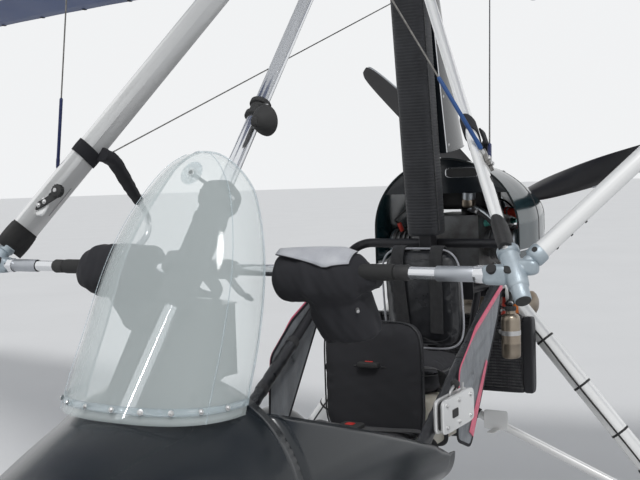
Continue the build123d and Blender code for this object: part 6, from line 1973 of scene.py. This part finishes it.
class TRIKE_OT_cockpit(bpy.types.Operator):
    """Fits the screen's stay, the instruments and the hand throttle"""
    bl_idname = "trike.cockpit"
    bl_label = "Cockpit"

    def execute(self, context):
        make_screen_fittings()
        make_instruments()
        make_throttle_box()
        return {"FINISHED"}


class TRIKE_OT_seats(bpy.types.Operator):
    """Fills the seats and lays belts, tube wraps, side panels and the tank"""
    bl_idname = "trike.seats"
    bl_label = "Seats"

    def execute(self, context):
        make_seats()
        make_seat_tube_wraps()
        make_side_panels()
        make_fuel_tank()
        return {"FINISHED"}


class TRIKE_OT_mast(bpy.types.Operator):
    """Pads the mast and shapes its fairing"""
    bl_idname = "trike.mast"
    bl_label = "Mast"

    def execute(self, context):
        make_mast_pad()
        make_mast_fairing()
        return {"FINISHED"}


class TRIKE_OT_engine(bpy.types.Operator):
    """Covers the engine and adds its hoses, silencer, radiator and oil can"""
    bl_idname = "trike.engine"
    bl_label = "Engine"

    def execute(self, context):
        make_cowl()
        make_engine_detail()
        make_engine_bay()
        return {"FINISHED"}


class TRIKE_OT_undercarriage(bpy.types.Operator):
    """Treads the tyres and shapes spats, mudguard and fittings"""
    bl_idname = "trike.undercarriage"
    bl_label = "Undercarriage"

    def execute(self, context):
        make_wheels()
        make_spats()
        make_undercarriage()
        return {"FINISHED"}


class TRIKE_OT_propeller(bpy.types.Operator):
    """Twists the three blades and bolts their hub"""
    bl_idname = "trike.propeller"
    bl_label = "Propeller"

    def execute(self, context):
        make_propeller()
        return {"FINISHED"}


class TRIKE_OT_sail(bpy.types.Operator):
    """Stretches the sail over its battens"""
    bl_idname = "trike.sail"
    bl_label = "Sail"

    def execute(self, context):
        make_sail()
        return {"FINISHED"}


# Stage

def camera_axes():
    """The camera's right, up and forward directions from its yaw, pitch and roll."""
    yaw, pitch, roll = radians(CAMERA_YAW), radians(CAMERA_PITCH), radians(CAMERA_ROLL)
    forward = np.array((-cos(yaw) * cos(pitch), -sin(yaw) * cos(pitch), sin(pitch)))
    level = unit(np.cross(forward, (0, 0, 1)))
    rise = np.cross(level, forward)
    right = level * cos(roll) + rise * sin(roll)
    up = -level * sin(roll) + rise * cos(roll)
    return right, up, forward


def make_camera():
    """Sets the camera where the photograph was taken."""
    data = bpy.data.cameras.new("camera")
    data.sensor_width = SENSOR_MM
    data.sensor_fit = "HORIZONTAL"
    data.lens = CAMERA_FOCAL_PIXELS / PHOTO_WIDTH_PIXELS * SENSOR_MM
    data.clip_end = 500.0
    camera = bpy.data.objects.new("camera", data)
    bpy.context.scene.collection.objects.link(camera)
    right, up, forward = camera_axes()
    turn = Matrix([list(row) for row in np.stack([right, up, -forward], axis=1)])
    camera.matrix_world = Matrix.Translation(CAMERA_PLACE) @ turn.to_4x4()
    bpy.context.scene.camera = camera


def make_floor(trike):
    """A wide pale disc under the wheels."""
    radius = 140.0
    rings = np.linspace(0.01, 1, 12)[:, None, None] ** 2 * radius
    ring = circle(1.0, 64)
    rows = rings * np.concatenate([ring, np.zeros((64, 1))], axis=1)[None]
    shape = skin(rows, wrap=True)
    mesh = bpy.data.meshes.new("floor")
    mesh.from_pydata(shape.points.tolist(), [], shape.quads[:, ::-1].tolist() + [list(range(64))])
    floor = bpy.data.objects.new("floor", mesh)
    bpy.context.scene.collection.objects.link(floor)
    paper = Finish("floor_paper", tuple(trike.floor_colour), 0.85)
    paper.mottle(tuple(0.97 * c for c in trike.floor_colour), 0.8)
    mesh.materials.append(paper.material)


def make_lights(trike):
    """A soft sun from ahead to starboard, and an even sky that metal and glass see brighter."""
    sun = bpy.data.lights.new("sun", "SUN")
    sun.energy = trike.sun_strength
    sun.angle = radians(12)
    lamp = bpy.data.objects.new("sun", sun)
    lamp.rotation_euler = (radians(38), 0, radians(128))
    bpy.context.scene.collection.objects.link(lamp)
    world = bpy.data.worlds.new("sky")
    world.use_nodes = True
    bpy.context.scene.world = world
    nodes, links = world.node_tree.nodes, world.node_tree.links
    nodes.clear()
    out = nodes.new("ShaderNodeOutputWorld")
    lit, seen, path = (nodes.new(kind) for kind in (
        "ShaderNodeBackground", "ShaderNodeBackground", "ShaderNodeLightPath"))
    lit.inputs["Color"].default_value = (0.93, 0.96, 1.0, 1)
    lit.inputs["Strength"].default_value = trike.sky_strength
    seen.inputs["Color"].default_value = (*trike.backdrop_colour, 1)
    seen.inputs["Strength"].default_value = 1.0
    either = nodes.new("ShaderNodeMath")
    either.operation = "MAXIMUM"
    third = nodes.new("ShaderNodeMath")
    third.operation = "MAXIMUM"
    links.new(path.outputs["Is Camera Ray"], either.inputs[0])
    links.new(path.outputs["Is Glossy Ray"], either.inputs[1])
    links.new(either.outputs[0], third.inputs[0])
    links.new(path.outputs["Is Transmission Ray"], third.inputs[1])
    mix = nodes.new("ShaderNodeMixShader")
    links.new(third.outputs[0], mix.inputs["Fac"])
    links.new(lit.outputs[0], mix.inputs[1])
    links.new(seen.outputs[0], mix.inputs[2])
    links.new(mix.outputs[0], out.inputs["Surface"])


class TRIKE_OT_stage(bpy.types.Operator):
    """Sets the floor, the lights and the camera"""
    bl_idname = "trike.stage"
    bl_label = "Stage"

    def execute(self, context):
        make_camera()
        make_floor(context.scene.trike)
        make_lights(context.scene.trike)
        context.scene.view_settings.view_transform = "Standard"
        return {"FINISHED"}


class TRIKE_OT_finishes(bpy.types.Operator):
    """Gives every part of the frame its finish"""
    bl_idname = "trike.finishes"
    bl_label = "Finishes"

    def execute(self, context):
        dress_nodes()
        return {"FINISHED"}


class TRIKE_PG_settings(bpy.types.PropertyGroup):
    """Sizes and colours that a user would change."""
    screen_thickness: bpy.props.FloatProperty(
        name="Screen thickness", description="Wall of the clear screen", default=0.004, unit="LENGTH")
    pod_wall: bpy.props.FloatProperty(
        name="Pod wall", description="Wall of the nose pod", default=0.005, unit="LENGTH")
    floor_colour: bpy.props.FloatVectorProperty(
        name="Floor", description="Colour of the floor", default=(0.78, 0.78, 0.78), subtype="COLOR")
    backdrop_colour: bpy.props.FloatVectorProperty(
        name="Backdrop", description="Colour behind the aircraft", default=(0.88, 0.89, 0.90), subtype="COLOR")
    sun_strength: bpy.props.FloatProperty(
        name="Sun", description="Strength of the soft sun", default=1.3)
    sky_strength: bpy.props.FloatProperty(
        name="Sky", description="Strength of the even light", default=0.5)


class TRIKE_PT_panel(bpy.types.Panel):
    """Lists the pieces and the settings."""
    bl_idname = "TRIKE_PT_panel"
    bl_label = "Microlight trike"
    bl_space_type = "VIEW_3D"
    bl_region_type = "UI"
    bl_category = "Trike"

    def draw(self, context):
        for operator in OPERATORS:
            self.layout.operator(operator.bl_idname)
        for setting in TRIKE_PG_settings.__annotations__:
            self.layout.prop(context.scene.trike, setting)


OPERATORS = (
    TRIKE_OT_finishes,
    TRIKE_OT_stage,
    TRIKE_OT_screen,
    TRIKE_OT_pod,
    TRIKE_OT_control_frame,
    TRIKE_OT_bar,
    TRIKE_OT_strut,
    TRIKE_OT_cockpit,
    TRIKE_OT_seats,
    TRIKE_OT_mast,
    TRIKE_OT_engine,
    TRIKE_OT_undercarriage,
    TRIKE_OT_propeller,
    TRIKE_OT_sail,
)
CLASSES = (TRIKE_PG_settings, *OPERATORS, TRIKE_PT_panel)


def register():
    for cls in CLASSES:
        bpy.utils.register_class(cls)
    bpy.types.Scene.trike = bpy.props.PointerProperty(type=TRIKE_PG_settings)


def unregister():
    del bpy.types.Scene.trike
    for cls in reversed(CLASSES):
        bpy.utils.unregister_class(cls)


def main():
    """Makes every piece in order."""
    register()
    for operator in OPERATORS:
        group, name = operator.bl_idname.split(".")
        getattr(getattr(bpy.ops, group), name)()


if __name__ == "__main__":
    main()
